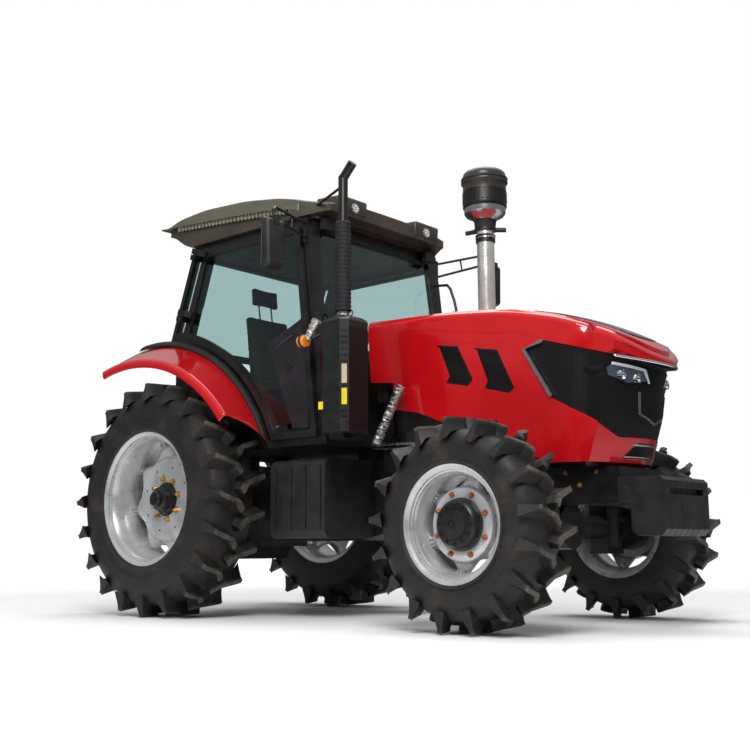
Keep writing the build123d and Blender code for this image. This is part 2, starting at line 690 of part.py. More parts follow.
def hinge_plane(z):
    """Plane across the right door's hinge axis: x outboard, y forward."""
    share = (z - hinge_low[2]) / (hinge_high[2] - hinge_low[2])
    lean = hinge_high[0] - hinge_low[0]
    rise = hinge_high[2] - hinge_low[2]
    return Plane(origin=at(hinge_low[0] + share * lean, hinge_low[1], z), x_dir=(0, -1, 0), z_dir=(lean, 0, rise))


reach_to_frame = -hinge_low[1] - frame_face
reach_to_door = -hinge_low[1] - cab_half_width

with BuildPart() as door_right:
    with BuildSketch(side.offset(cab_half_width - door_thickness)):
        cab_side_outline(pillar_width - overlap, head_depth - overlap, sill_depth - overlap,
                         door_arch_rise, opening_rear_in - overlap)
    extrude(amount=door_thickness)
    with BuildSketch(side.offset(cab_half_width - door_thickness)):
        cab_side_outline(pillar_width + 30, head_depth + 20, sill_depth + 25,
                         opening_rise + 20, opening_rear_in + 25)
    extrude(amount=door_thickness, mode=Mode.SUBTRACT)
    for z in hinge_heights:
        with BuildSketch(hinge_plane(z).offset(3)):
            outline((-reach_to_door - door_thickness / 2, 10), (-reach_to_door - door_thickness / 2, 44),
                    (-reach_to_door + 25, 60), (0, hinge_eye_radius), (0, -hinge_eye_radius))
            RegularPolygon(hinge_eye_radius, bar_sides)
        extrude(amount=44)
        with BuildSketch(hinge_plane(z)):
            Circle(hinge_pin_radius + pin_gap)
        extrude(amount=60, mode=Mode.SUBTRACT)
save("door_right", door_right.part)
save("door_left", other_side(door_right.part))

with BuildPart() as door_glass:
    with BuildSketch(side.offset(cab_half_width - door_thickness / 2)):
        cab_side_outline(pillar_width + 30, head_depth + 20, sill_depth + 25,
                         opening_rise + 20, opening_rear_in + 25)
    extrude(amount=glass_thickness)
save("door_glass_right", door_glass.part)
save("door_glass_left", other_side(door_glass.part))

with BuildPart() as hinge_brackets:
    for z in hinge_heights:
        with BuildSketch(hinge_plane(z).offset(-46)):
            outline((-reach_to_frame, -70), (-reach_to_frame, -10), (-40, -10), (0, hinge_eye_radius),
                    (0, -hinge_eye_radius))
            RegularPolygon(hinge_eye_radius, bar_sides)
        extrude(amount=44)
        with BuildSketch(hinge_plane(z).offset(-10)):
            Circle(hinge_pin_radius)
        extrude(amount=54)
    mirror(about=Plane.XZ)
save("door_hinges", hinge_brackets.part)

# ---------------------------------------------------------------------------
# Roof
# ---------------------------------------------------------------------------
roof_half = 860
roof_tip_x, visor_x = -380, 1560
roof_crown = 300             # crown of the roof above the cab frame
roof_edge = 222              # the same at its side edges
roof_flats = 5

with BuildPart() as cab_roof:
    with BuildSketch(side):
        outline((roof_tip_x, cab_top_z + 240), (-60, cab_top_z + 288), (260, cab_top_z + roof_crown + 12),
                (720, cab_top_z + 276), (1120, cab_top_z + 205), (1330, cab_top_z + 150),
                (visor_x, cab_top_z + 85), (visor_x, cab_top_z), (cab_rear_head_x - 60, cab_top_z),
                (roof_tip_x, cab_top_z + 180))
    extrude(amount=roof_half, both=True)
    with BuildSketch(ground.offset(cab_top_z - 100)):
        with BuildLine() as edge:
            Polyline((roof_tip_x + 160, roof_half), (900, roof_half), (1330, roof_half - 100), (visor_x - 80, 500),
                     (visor_x, 400))
            ThreePointArc((visor_x, 400), (visor_x + 40, 0), (visor_x, -400))
            Polyline((visor_x, -400), (visor_x - 80, -500), (1330, 100 - roof_half), (900, -roof_half),
                     (roof_tip_x + 160, -roof_half))
            ThreePointArc((roof_tip_x + 160, -roof_half), (roof_tip_x, 0), (roof_tip_x + 160, roof_half))
        make_face(edge.edges())
    extrude(amount=600, mode=Mode.INTERSECT)
    # Crown across the roof in even flats, and side edges that turn under
    shares = [2 * n / roof_flats - 1 for n in range(roof_flats + 1)]
    crown = [(share * roof_half, cab_top_z + roof_crown - (roof_crown - roof_edge) * share ** 2)
             for share in shares]
    with BuildSketch(station(roof_tip_x - 20)):
        outline(*crown, (roof_half, cab_top_z + 110), (frame_face, cab_top_z), (-frame_face, cab_top_z),
                (-roof_half, cab_top_z + 110))
    extrude(amount=2000, mode=Mode.INTERSECT)
save("cab_roof", cab_roof.part)

with BuildPart() as work_lamps:
    for y in (-660, 540):
        add(block((1330, 1375), (y, y + 120), (cab_top_z - 80, cab_top_z)))
save("work_lamps", work_lamps.part)

# ---------------------------------------------------------------------------
# Inside the cab
# ---------------------------------------------------------------------------
cab_deck_z = cab_floor_z + 40
seat_x, seat_z = 430, 1740

with BuildPart() as seat_base:
    add(block((seat_x - 190, seat_x + 190), (-190, 190), (cab_deck_z, 1400)))
    add(block((seat_x - 160, seat_x + 160), (-150, 150), (1400, 1640)))
    add(block((seat_x - 230, seat_x + 240), (-230, 230), (1640, seat_z)))
save("seat_base", seat_base.part)

with BuildPart() as seat_cushion:
    add(block((seat_x - 250, seat_x + 270), (-250, 250), (seat_z + 0.3, seat_z + 130)))
    add(plate(side, ((seat_x - 220, seat_z + 40), (seat_x - 235, seat_z + 130), (seat_x - 330, seat_z + 700),
                     (seat_x - 430, seat_z + 700), (seat_x - 350, seat_z + 40)), -240, 480))
    add(plate(side, ((seat_x - 350, seat_z + 780), (seat_x - 365, seat_z + 960), (seat_x - 440, seat_z + 960),
                     (seat_x - 425, seat_z + 780)), -150, 300))
    for y in (-70, 70):
        add(bar(at(seat_x - 385, y, seat_z + 690), at(seat_x - 390, y, seat_z + 800), 7))
save("seat_cushion", seat_cushion.part)

with BuildPart() as dashboard:
    add(plate(side, ((1180, cab_deck_z), (1400, cab_deck_z), (1340, 1900), (1270, 2000), (1080, 1940), (1070, 1850),
                     (1180, 1700)), -170, 340))
    add(bar(at(1120, 0, 1880), at(985, 0, 2070), 22))
save("dashboard", dashboard.part)

wheel_grip_radius = 215
with BuildPart() as steering_wheel:
    with BuildSketch(Plane(origin=at(985, 0, 2070), z_dir=(-135, 0, 190))):
        RegularPolygon(wheel_grip_radius, wheel_sides)
        RegularPolygon(wheel_grip_radius - 25, wheel_sides, mode=Mode.SUBTRACT)
        with PolarLocations(0, 3):
            with Locations((wheel_grip_radius / 2 - 5, 0)):
                Rectangle(wheel_grip_radius - 15, 34)
    extrude(amount=24)
save("steering_wheel", steering_wheel.part)

# ---------------------------------------------------------------------------
# Fenders
# ---------------------------------------------------------------------------

def arch_strip(plane, shift_x, shift_z, back, front, sheet):
    """A strip of the shared arch in even flats, moved, from a rear station to a front height."""
    centre_x, centre_z = arch_x + shift_x, arch_z + shift_z
    first = math.acos((back - centre_x) / arch_radius)
    last = math.asin((front - centre_z) / arch_radius)
    turns = [first + n * (last - first) / fender_flats for n in range(fender_flats + 1)]
    upper = [(centre_x + arch_radius * math.cos(t), centre_z + arch_radius * math.sin(t)) for t in turns]
    lower = [(centre_x + (arch_radius - sheet) * math.cos(t), centre_z + (arch_radius - sheet) * math.sin(t))
             for t in turns]
    with BuildSketch(plane) as strip:
        outline(*upper, *reversed(lower))
    return strip.sketch


with BuildPart() as fenders:
    # The sheet runs out from the cab's side, leaning forward and down with its lip
    sheet = arch_strip(side.offset(frame_face), 0, 0, fender_lip_back - lip_lead, cab_floor_z, fender_sheet)
    fender_out = fender_half_width - frame_face
    lean = Vector(lip_lead, -fender_out, -lip_drop)
    extrude(sheet, amount=lean.length, dir=lean)
    # Its front corner is cut up to the lip, its rear corner back to it
    with BuildSketch(ground.offset(cab_floor_z - lip_drop - 50)):
        outline((fender_lip_back, -fender_half_width), (fender_back, -frame_face), (1400, -frame_face),
                (1400, -fender_half_width))
    extrude(amount=1200, mode=Mode.INTERSECT)
    front_foot = arch_station(cab_floor_z, arch_x, arch_z, arch_radius)
    front_tip = arch_station(fender_lip_foot_z, arch_x + lip_lead, arch_z - lip_drop, arch_radius)
    with BuildSketch(ground.offset(cab_floor_z - lip_drop - 50)):
        outline((front_foot, -frame_face), (front_tip, -fender_half_width), (1400, -fender_half_width),
                (1400, -frame_face))
    extrude(amount=1200, mode=Mode.SUBTRACT)
    skirt = arch_strip(side.offset(fender_half_width - 8), lip_lead, -lip_drop, fender_lip_back,
                       fender_lip_foot_z, fender_skirt)
    extrude(skirt, amount=8)
    mirror(about=Plane.XZ)
save("fenders", fenders.part)

# ---------------------------------------------------------------------------
# Hood
# ---------------------------------------------------------------------------
nose_bow = 176
nose_corner_half = 384
nose_side = 440              # from the nose's tip back to where the sides turn in
nose_flats = 12
nose_levels = ((960, nose_x), (1130, nose_x + 70), (1250, nose_x + 112), (1592, nose_x + 165))
lip_front = nose_x + 228
hood_cut_rear_x = hood_rear_x - 180      # the hollow runs out through the open rear
hood_lower_edge = ((hood_cut_front_x, 985), (nose_x - 100, 1013), (nose_x - 410, 1020), (2000, 1430),
                   (1775, 1470), (1805, 1656), (hood_rear_x, 1683))


def hood_plan(front, inset):
    """Ground plan: straight sides, turned-in corners and a nose bowed in even flats."""
    half, corner = hood_half_width - inset, nose_corner_half - inset
    bow_radius = (nose_corner_half ** 2 + nose_bow ** 2) / (2 * nose_bow) - inset
    bow_turn = math.asin(corner / bow_radius)
    bow_x = front - inset - bow_radius
    turns = [bow_turn * (1 - 2 * n / nose_flats) for n in range(nose_flats + 1)]
    nose = [(bow_x + bow_radius * math.cos(t), bow_radius * math.sin(t)) for t in turns]
    outline((hood_cut_rear_x, -half), (hood_cut_rear_x, half), (front - nose_side, half), *nose,
            (front - nose_side, -half))


def hood_form(inset, open_below):
    """The hood's outer form, drawn in by an even inset."""
    with BuildPart() as form:
        # The nose leans forward between its levels, and its lip stands out above
        for (low, foot), (high, head) in zip(nose_levels, nose_levels[1:]):
            with BuildSketch(ground.offset(low)) as tier:
                hood_plan(foot, inset)
            lean = Vector(head - foot, 0, high - low)
            extrude(tier.sketch, amount=lean.length, dir=lean)
        with BuildSketch(ground.offset(nose_levels[-1][0])):
            hood_plan(lip_front, inset)
        extrude(amount=700)
        with BuildSketch(side):
            with BuildLine() as edge:
                rear = hood_cut_rear_x + 80 if open_below else hood_rear_x
                back = Line((rear, hood_rear_z - inset), (hood_crest_x, hood_crest_z - inset))
                top = TangentArc(back @ 1, (hood_brow_x, hood_brow_z - inset), tangent=back % 1)
                Line(top @ 1, (hood_cut_front_x, hood_brow_z - 192 - inset))
                if open_below:
                    Polyline((hood_cut_front_x, hood_brow_z - 192 - inset), (hood_cut_front_x, 900),
                             (rear, 900), back @ 0)
                else:
                    Polyline((hood_cut_front_x, hood_brow_z - 192), *hood_lower_edge, back @ 0)
            make_face(edge.edges())
        extrude(amount=600, both=True, mode=Mode.INTERSECT)
    return form.part


mask_outline = ((nose_x - 577, 1756), (nose_x - 433, 1800), (nose_x + 50, 1655), (hood_cut_front_x, 1592),
                (hood_cut_front_x, 1160), (nose_x - 10, 1160), (nose_x - 90, 1262), (nose_x - 381, 1427))
grille_outline = ((nose_x - 21, 1034), (nose_x + 40, 1130), (hood_cut_front_x, 1130), (hood_cut_front_x, 1034))
headlight_outline = ((385, 1590), (350, 1622), (139, 1578), (100, 1496), (255, 1480), (375, 1535))
headlight_rise = 4
vent_outlines = (
    ((2211, 1867), (2344, 1843), (2495, 1594), (2288, 1595)),
    ((2526, 1810), (2703, 1774), (2828, 1513), (2609, 1528)),
)

hood_outer = hood_form(0, False)
hood_inner = hood_form(hood_wall, True)
mask_outer = hood_form(mask_step, True)

with BuildPart() as hood:
    add(hood_outer)
    add(hood_inner, mode=Mode.SUBTRACT)
    for shape in (mask_outline, grille_outline):
        with BuildSketch(side):
            outline(*shape)
        extrude(amount=500, both=True, mode=Mode.SUBTRACT)
    for shape in vent_outlines:
        with BuildSketch(side):
            outline(*shape)
        extrude(amount=500, both=True, mode=Mode.SUBTRACT)
    with BuildSketch(ground.offset(1900)):
        with Locations((stack_x, 0)):
            Circle(stack_radius + 16)
    extrude(amount=400, mode=Mode.SUBTRACT)

# Lugs that hang the hood on its hinge pins, and the arch that carries them
lug_y, lug_thickness, hood_pin_radius = 330, 14, 10
with BuildPart() as hood_hung:
    add(hood.part)
    for y in (-lug_y - lug_thickness, lug_y):
        with BuildSketch(side.offset(y)):
            outline((hood_hinge_x - 22, hood_hinge_z - 22), (hood_hinge_x + 22, hood_hinge_z - 22),
                    (hood_hinge_x + 70, hood_rear_z - hood_wall + 4), (hood_hinge_x - 30, hood_rear_z - hood_wall + 4))
            with Locations((hood_hinge_x, hood_hinge_z)):
                Circle(hood_pin_radius + pin_gap, mode=Mode.SUBTRACT)
        extrude(amount=lug_thickness)
save("hood", hood_hung.part)

with BuildPart() as hood_support:
    for hand in (-1, 1):
        near, far = sorted((hand * (lug_y - end_gap - 30), hand * (lug_y - end_gap)))
        add(plate(side, ((1590, 1560), (1700, 1560), (hood_hinge_x + 20, hood_hinge_z + 16),
                         (hood_hinge_x - 20, hood_hinge_z + 16)), near, far - near))
        add(shaft(at(hood_hinge_x, hand * (lug_y - 25), hood_hinge_z),
                  at(hood_hinge_x, hand * (lug_y + lug_thickness + 4), hood_hinge_z), hood_pin_radius))
        near, far = sorted((hand * (rail_half_width - 40), hand * (rail_half_width)))
        add(block((1600, 1690), (near, far), (1120, 1600)))
    add(block((1600, 1690), (-lug_y + end_gap, lug_y - end_gap), (1540, 1600)))
save("hood_support", hood_support.part)

with BuildPart() as nose_mask:
    add(mask_outer)
    add(hood_inner, mode=Mode.SUBTRACT)
    with BuildSketch(side):
        for shape in (mask_outline, grille_outline):
            outline(*shape)
    extrude(amount=500, both=True, mode=Mode.INTERSECT)
save("nose_mask", nose_mask.part)

# Headlight lenses lie on the mask, proud of it
lens_outer = hood_form(mask_step - headlight_rise, True)
with BuildPart() as headlights:
    add(lens_outer)
    add(mask_outer, mode=Mode.SUBTRACT)
    with BuildSketch(station(nose_levels[0][1] - nose_bow)):
        for hand in (-1, 1):
            outline(*((hand * y, z) for y, z in headlight_outline))
    extrude(amount=500, mode=Mode.INTERSECT)
save("headlights", headlights.part)

# Louvred vents behind the openings
vent_plate, louvre_pitch, louvre_gap = 8, 26, 12
with BuildPart() as hood_vents:
    for shape in vent_outlines:
        centre = Vector(sum(p[0] for p in shape) / 4, sum(p[1] for p in shape) / 4)
        wide = [tuple(centre + (Vector(*p) - centre) * 1.12)[:2] for p in shape]
        slotted = [tuple(centre + (Vector(*p) - centre) * 0.92)[:2] for p in shape]
        with BuildSketch(side.offset(hood_half_width - hood_wall - vent_plate)):
            outline(*wide)
        extrude(amount=vent_plate)
        with BuildSketch(side.offset(hood_half_width - hood_wall - vent_plate)):
            outline(*slotted)
            with Locations((centre.X, centre.Y)):
                with GridLocations(0, louvre_pitch, 1, 9):
                    Rectangle(600, louvre_gap, mode=Mode.INTERSECT)
        extrude(amount=vent_plate, mode=Mode.SUBTRACT)
    mirror(about=Plane.XZ)
save("hood_vents", hood_vents.part)

stack_foot_z, neck_z = 2100, 2800
canister_radius, canister_sides = 160, 24
canister_z, canister_top_z = 2850, 3210
with BuildPart() as intake_stack:
    add(shaft(at(stack_x, 0, stack_foot_z - 40), at(stack_x, 0, neck_z), stack_radius))
    add(bar(at(stack_x, 0, stack_foot_z), at(stack_x, 0, stack_foot_z + 55), stack_radius + 16))
save("intake_stack", intake_stack.part)

# Fluted canister with a bowl below and a domed lid, on a rubber neck
with BuildPart() as precleaner:
    with BuildSketch(ground.offset(canister_z)):
        with Locations((stack_x, 0)):
            RegularPolygon(canister_radius, canister_sides)
    extrude(amount=canister_top_z - canister_z)
    bowl = precleaner.faces().sort_by(Axis.Z)[0]
    chamfer(bowl.edges(), canister_radius - 85, 40, reference=bowl)
    lid = precleaner.faces().sort_by(Axis.Z)[-1]
    chamfer(lid.edges(), 60, 40, reference=lid)
    with BuildSketch(ground.offset(canister_top_z - 105)):
        with Locations((stack_x, 0)):
            RegularPolygon(canister_radius + 10, canister_sides)
    extrude(amount=24)
    add(bar(at(stack_x, 0, neck_z), at(stack_x, 0, canister_z + 1), 82))
save("precleaner", precleaner.part)

# ---------------------------------------------------------------------------
# Exhaust and mirrors
# ---------------------------------------------------------------------------
muffler_x, muffler_y, muffler_radius = 1690, 800, 172

muffler_foot_z, muffler_top_z, muffler_cap = 1270, 2020, 62
with BuildPart() as muffler:
    with BuildSketch(ground.offset(muffler_foot_z)):
        with Locations((muffler_x, -muffler_y)):
            RegularPolygon(muffler_radius, 8, rotation=22.5)
    extrude(amount=muffler_top_z - muffler_foot_z)
    with BuildSketch(ground.offset(muffler_top_z)):
        with Locations((muffler_x, -muffler_y)):
            RegularPolygon(muffler_radius - 8, 8, rotation=22.5)
    extrude(amount=muffler_cap)
    lid = muffler.faces().sort_by(Axis.Z)[-1]
    chamfer(lid.edges(), 84, muffler_cap - 4, reference=lid)
    # Louvres down the outer face of the shield
    with BuildSketch(side.offset(muffler_y)):
        with Locations((muffler_x, (muffler_foot_z + muffler_top_z) / 2)):
            with GridLocations(0, 52, 1, 12):
                Rectangle(80, 22)
    extrude(amount=muffler_radius, mode=Mode.SUBTRACT)
    with BuildSketch(ground.offset(muffler_foot_z)):
        with Locations((muffler_x, -muffler_y)):
            RegularPolygon(muffler_radius - 20, 8, rotation=22.5)
    extrude(amount=muffler_top_z - muffler_foot_z)
    add(block((muffler_x - 70, muffler_x + 60), (-muffler_y - 60, -rail_half_width), (1235, muffler_foot_z)))
    add(block((muffler_x - 70, muffler_x + 60), (-rail_half_width - 30, -rail_half_width), (1000, muffler_foot_z)))
save("muffler", muffler.part)

sleeve_radius, pipe_radius = 59, 33      # insulated below, bare above
sleeve_top_z, pipe_bend_z = 2770, 3100
with BuildPart() as exhaust_pipe:
    add(shaft(at(muffler_x, -muffler_y, muffler_top_z + muffler_cap), at(muffler_x, -muffler_y, sleeve_top_z),
              sleeve_radius))
    add(shaft(at(muffler_x, -muffler_y, sleeve_top_z), at(muffler_x, -muffler_y, pipe_bend_z), pipe_radius))
    add(shaft(at(muffler_x, -muffler_y, pipe_bend_z - 10), at(muffler_x + 90, -muffler_y, pipe_bend_z + 90),
              pipe_radius))
save("exhaust_pipe", exhaust_pipe.part)

mirror_y, mirror_half = 1300, 100
mirror_table = (
    # side, height of the upper arm's outer end
    (-1, 2800),
    (1, 2985),
)
with BuildPart() as mirrors:
    for hand, arm_z in mirror_table:
        y = hand * mirror_y
        root = hand * (frame_face + 12)
        near, far = sorted((hand * frame_face, hand * (frame_face + 20)))
        add(block((1278, 1308), (near, far), (2700, 2870)))
        add(bar(at(1293, root, 2845), at(1505, y, arm_z), 11))
        add(bar(at(1300, root, 2735), at(1505, y, arm_z - 50), 11))
        add(bar(at(1505, y, arm_z + 25), at(1505, y, arm_z - 110), 14))
        low, high = arm_z - 440, arm_z - 75
        near, far = sorted((y - mirror_half, y + mirror_half))
        add(block((1470, 1540), (near, far), (low, high)))
save("mirrors", mirrors.part)
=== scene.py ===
# %% [markdown]
# # A farm tractor, dressed around its CAD frame
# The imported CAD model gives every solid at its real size, and every body that moves.
# This lesson adds the looks: finishes for the solids that are right as they are, and
# modelled pieces where the real machine has curves, treads, meshes and trim.

# %% Load the frame
import json
import math

import bmesh
import bpy
from mathutils import Matrix, Vector


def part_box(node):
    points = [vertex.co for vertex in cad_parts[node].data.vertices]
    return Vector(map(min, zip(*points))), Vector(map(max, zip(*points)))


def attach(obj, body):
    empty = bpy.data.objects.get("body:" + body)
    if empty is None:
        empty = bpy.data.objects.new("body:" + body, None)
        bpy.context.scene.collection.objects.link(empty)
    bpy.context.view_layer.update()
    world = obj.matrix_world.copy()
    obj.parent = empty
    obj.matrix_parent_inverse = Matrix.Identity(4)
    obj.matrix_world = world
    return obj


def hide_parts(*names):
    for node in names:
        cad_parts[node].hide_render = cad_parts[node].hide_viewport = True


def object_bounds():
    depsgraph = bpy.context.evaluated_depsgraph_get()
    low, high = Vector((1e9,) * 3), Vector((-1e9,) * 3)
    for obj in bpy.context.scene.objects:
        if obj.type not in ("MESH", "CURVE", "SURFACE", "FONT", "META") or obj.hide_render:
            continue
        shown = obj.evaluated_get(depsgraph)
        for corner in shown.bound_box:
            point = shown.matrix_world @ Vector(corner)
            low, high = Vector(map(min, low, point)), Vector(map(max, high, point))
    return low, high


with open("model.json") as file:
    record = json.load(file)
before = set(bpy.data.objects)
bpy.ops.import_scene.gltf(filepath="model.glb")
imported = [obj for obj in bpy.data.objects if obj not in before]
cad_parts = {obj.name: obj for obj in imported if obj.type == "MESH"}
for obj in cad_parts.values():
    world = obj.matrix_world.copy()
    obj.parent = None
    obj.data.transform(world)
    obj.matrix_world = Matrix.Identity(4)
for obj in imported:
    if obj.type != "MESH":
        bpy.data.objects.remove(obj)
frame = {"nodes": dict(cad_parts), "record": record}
cad_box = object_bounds()
nodes = frame["nodes"]

# %% [markdown]
# ## Places to measure from
# Everything is placed from a few points of the frame: the two axles, and the boxes of
# the solids. `ahead(x)` turns a distance ahead of the rear axle into a station, so a piece
# stays in its place on the machine wherever the frame's origin lies. A hand of 1 is the
# machine's right side, which is -Y. A way is the sign of Y itself.

# %% Axles and stations
sides = (("right", 1), ("left", -1))


def middle(node):
    """The middle of a solid's box."""
    low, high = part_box(node)
    return (Vector(low) + Vector(high)) / 2


rear_hub = middle("tyre_rear_right")
front_hub = middle("tyre_front_right")


def ahead(distance):
    """The X of a distance ahead of the rear axle."""
    return rear_hub.x + distance


def at(x, y, z):
    """A point given ahead of the rear axle."""
    return Vector((ahead(x), y, z))


print("wheelbase:", round(front_hub.x - rear_hub.x, 3))

# %% [markdown]
# ## The studio
# The camera stands low, ahead of the machine and to its right, and looks slightly up, as a
# person crouching to take in the whole of it. The floor and the world are pale. Camera and
# transmission rays see plain white; glossy rays see a soft sky with a darker floor
# side, so that paint and chrome have something to reflect.

# %% Camera
camera_place = (ahead(6.678), -6.193, 0.494)
camera_yaw, camera_pitch, camera_roll = (math.radians(a) for a in (41.054, 9.148, -0.291))
camera = bpy.data.objects.new("camera", bpy.data.cameras.new("camera"))
camera.data.lens = 51.832
camera.data.sensor_width = 36.0
camera.matrix_world = (
    Matrix.Translation(camera_place)
    @ Matrix.Rotation(camera_yaw, 4, "Z")
    @ Matrix.Rotation(math.radians(90) + camera_pitch, 4, "X")
    @ Matrix.Rotation(camera_roll, 4, "Z")
)
bpy.context.scene.collection.objects.link(camera)
bpy.context.scene.camera = camera

# %% Floor and backdrop
def shader(name):
    """A new node material: returns it with its node list and a function that links."""
    material = bpy.data.materials.new(name)
    material.use_nodes = True
    tree = material.node_tree
    return material, tree.nodes, tree.links.new


def link_object(name, mesh):
    """Put a mesh into the scene as an object."""
    thing = bpy.data.objects.new(name, mesh)
    bpy.context.scene.collection.objects.link(thing)
    return thing


floor_radius, fade_start, fade_end = 9.0, 3.2, 7.5
floor_bm = bmesh.new()
bmesh.ops.create_circle(floor_bm, cap_ends=True, radius=floor_radius, segments=96)
floor_mesh = bpy.data.meshes.new("studio_floor")
floor_bm.to_mesh(floor_mesh)
floor_bm.free()
floor = link_object("studio_floor", floor_mesh)
floor.location.z = cad_box[0][2] - 0.001
floor_look, n, link = shader("studio_floor")
n["Principled BSDF"].inputs["Base Color"].default_value = (0.92, 0.92, 0.92, 1)
n["Principled BSDF"].inputs["Roughness"].default_value = 0.9
n["Principled BSDF"].inputs["Specular IOR Level"].default_value = 0.0
reach = n.new("ShaderNodeTexCoord")
distance = n.new("ShaderNodeVectorMath")
distance.operation = "LENGTH"
fade = n.new("ShaderNodeMapRange")
fade.interpolation_type = "SMOOTHSTEP"
fade.inputs["From Min"].default_value = fade_start
fade.inputs["From Max"].default_value = fade_end
gone = n.new("ShaderNodeBsdfTransparent")
over = n.new("ShaderNodeMixShader")
link(reach.outputs["Object"], distance.inputs[0])
link(distance.outputs["Value"], fade.inputs["Value"])
link(fade.outputs["Result"], over.inputs["Fac"])
link(n["Principled BSDF"].outputs[0], over.inputs[1])
link(gone.outputs[0], over.inputs[2])
link(over.outputs[0], n["Material Output"].inputs["Surface"])
floor_mesh.materials.append(floor_look)
print("floor:", 2 * floor_radius, "across, at", round(floor.location.z, 3))

# %% World
world = bpy.data.worlds.new("studio")
bpy.context.scene.world = world
world.use_nodes = True
horizon, zenith, sky_strength = 0.48, 0.92, 0.62
wn, wl = world.node_tree.nodes, world.node_tree.links.new
wn.clear()
rays = wn.new("ShaderNodeLightPath")
seen = wn.new("ShaderNodeMath")
seen.operation = "MAXIMUM"
wl(rays.outputs["Is Camera Ray"], seen.inputs[0])
wl(rays.outputs["Is Transmission Ray"], seen.inputs[1])
white = wn.new("ShaderNodeBackground")
white.inputs["Color"].default_value = (1, 1, 1, 1)
white.inputs["Strength"].default_value = 1.0
sky = wn.new("ShaderNodeTexGradient")
place = wn.new("ShaderNodeTexCoord")
turn = wn.new("ShaderNodeMapping")
turn.inputs["Rotation"].default_value = (0, math.radians(90), 0)
turn.inputs["Location"].default_value = (0.5, 0, 0)
turn.inputs["Scale"].default_value = (0.5, 0.5, 0.5)
ramp = wn.new("ShaderNodeValToRGB")
ramp.color_ramp.elements[0].position = horizon
ramp.color_ramp.elements[0].color = (0.10, 0.10, 0.10, 1)
ramp.color_ramp.elements[1].position = zenith
ramp.color_ramp.elements[1].color = (1, 1, 1, 1)
dome = wn.new("ShaderNodeBackground")
dome.inputs["Strength"].default_value = sky_strength
blend = wn.new("ShaderNodeMixShader")
out = wn.new("ShaderNodeOutputWorld")
wl(place.outputs["Generated"], turn.inputs["Vector"])
wl(turn.outputs["Vector"], sky.inputs["Vector"])
wl(sky.outputs["Color"], ramp.inputs["Fac"])
wl(ramp.outputs["Color"], dome.inputs["Color"])
wl(seen.outputs[0], blend.inputs["Fac"])
wl(dome.outputs[0], blend.inputs[1])
wl(white.outputs[0], blend.inputs[2])
wl(blend.outputs[0], out.inputs["Surface"])

# %% Lamps
def softbox(name, place, aim, size, watts):
    """A large square lamp that looks at a point."""
    lamp = bpy.data.lights.new(name, "AREA")
    lamp.shape = "RECTANGLE"
    lamp.size, lamp.size_y = size
    lamp.energy = watts
    thing = bpy.data.objects.new(name, lamp)
    thing.location = place
    thing.rotation_euler = (Vector(aim) - Vector(place)).to_track_quat("-Z", "Y").to_euler()
    bpy.context.scene.collection.objects.link(thing)
    return thing


softbox("key_softbox", at(5.5, -5.5, 6.5), at(1.2, 0, 1.2), (3.0, 3.0), 420)
side_light = softbox("side_softbox", at(-1.5, -7.5, 3.0), at(0.6, 0, 1.4), (5.0, 2.0), 160)
side_light.visible_glossy = False
softbox("top_softbox", at(1.0, 1.0, 8.0), at(1.2, 0, 1.0), (6.0, 4.0), 300)
bpy.context.scene.view_settings.view_transform = "Standard"

# %% [markdown]
# ## Finishes
# Each finish is one node material. Patterns read Object coordinates in metres, so their
# scale is real. Colour and roughness drift together with one soft noise, so that no surface
# looks freshly moulded; gloss comes from the shader.

# %% Building blocks for finishes
def pattern(nodes_, link_, scale, detail=4.0, roughness=0.55, stretch=(1, 1, 1)):
    """Noise in Object coordinates: returns its Fac socket."""
    where = nodes_.new("ShaderNodeTexCoord")
    spread = nodes_.new("ShaderNodeMapping")
    spread.inputs["Scale"].default_value = stretch
    noise = nodes_.new("ShaderNodeTexNoise")
    noise.inputs["Scale"].default_value = scale
    noise.inputs["Detail"].default_value = detail
    noise.inputs["Roughness"].default_value = roughness
    link_(where.outputs["Object"], spread.inputs["Vector"])
    link_(spread.outputs["Vector"], noise.inputs["Vector"])
    return noise.outputs["Fac"]


def ramped(nodes_, link_, source, low, high, dark, light):
    """A colour ramp from dark to light between two values of a pattern."""
    steps = nodes_.new("ShaderNodeValToRGB")
    steps.color_ramp.elements[0].position = low
    steps.color_ramp.elements[0].color = (*dark, 1)
    steps.color_ramp.elements[1].position = high
    steps.color_ramp.elements[1].color = (*light, 1)
    link_(source, steps.inputs["Fac"])
    return steps.outputs["Color"]


def bumped(nodes_, link_, source, strength, depth):
    """A bump from a pattern: depth in metres."""
    bump = nodes_.new("ShaderNodeBump")
    bump.inputs["Strength"].default_value = strength
    bump.inputs["Distance"].default_value = depth
    link_(source, bump.inputs["Height"])
    return bump.outputs["Normal"]


def finish(name, dark, light, rough, scale=6.0, metal=0.0, grain=None, coat=0.0, specular=0.5):
    """Two tones: colour and roughness vary with one noise; grain = (scale, strength, depth)."""
    look, n_, link_ = shader(name)
    skin = n_["Principled BSDF"]
    skin.inputs["Metallic"].default_value = metal
    skin.inputs["Specular IOR Level"].default_value = specular
    skin.inputs["Coat Weight"].default_value = coat
    skin.inputs["Coat Roughness"].default_value = 0.04
    cloud = pattern(n_, link_, scale)
    link_(ramped(n_, link_, cloud, 0.35, 0.65, dark, light), skin.inputs["Base Color"])
    gloss = ramped(n_, link_, cloud, 0.3, 0.7, (rough[0],) * 3, (rough[1],) * 3)
    link_(gloss, skin.inputs["Roughness"])
    if grain:
        fine = pattern(n_, link_, grain[0], 2.0)
        link_(bumped(n_, link_, fine, grain[1], grain[2]), skin.inputs["Normal"])
    return look


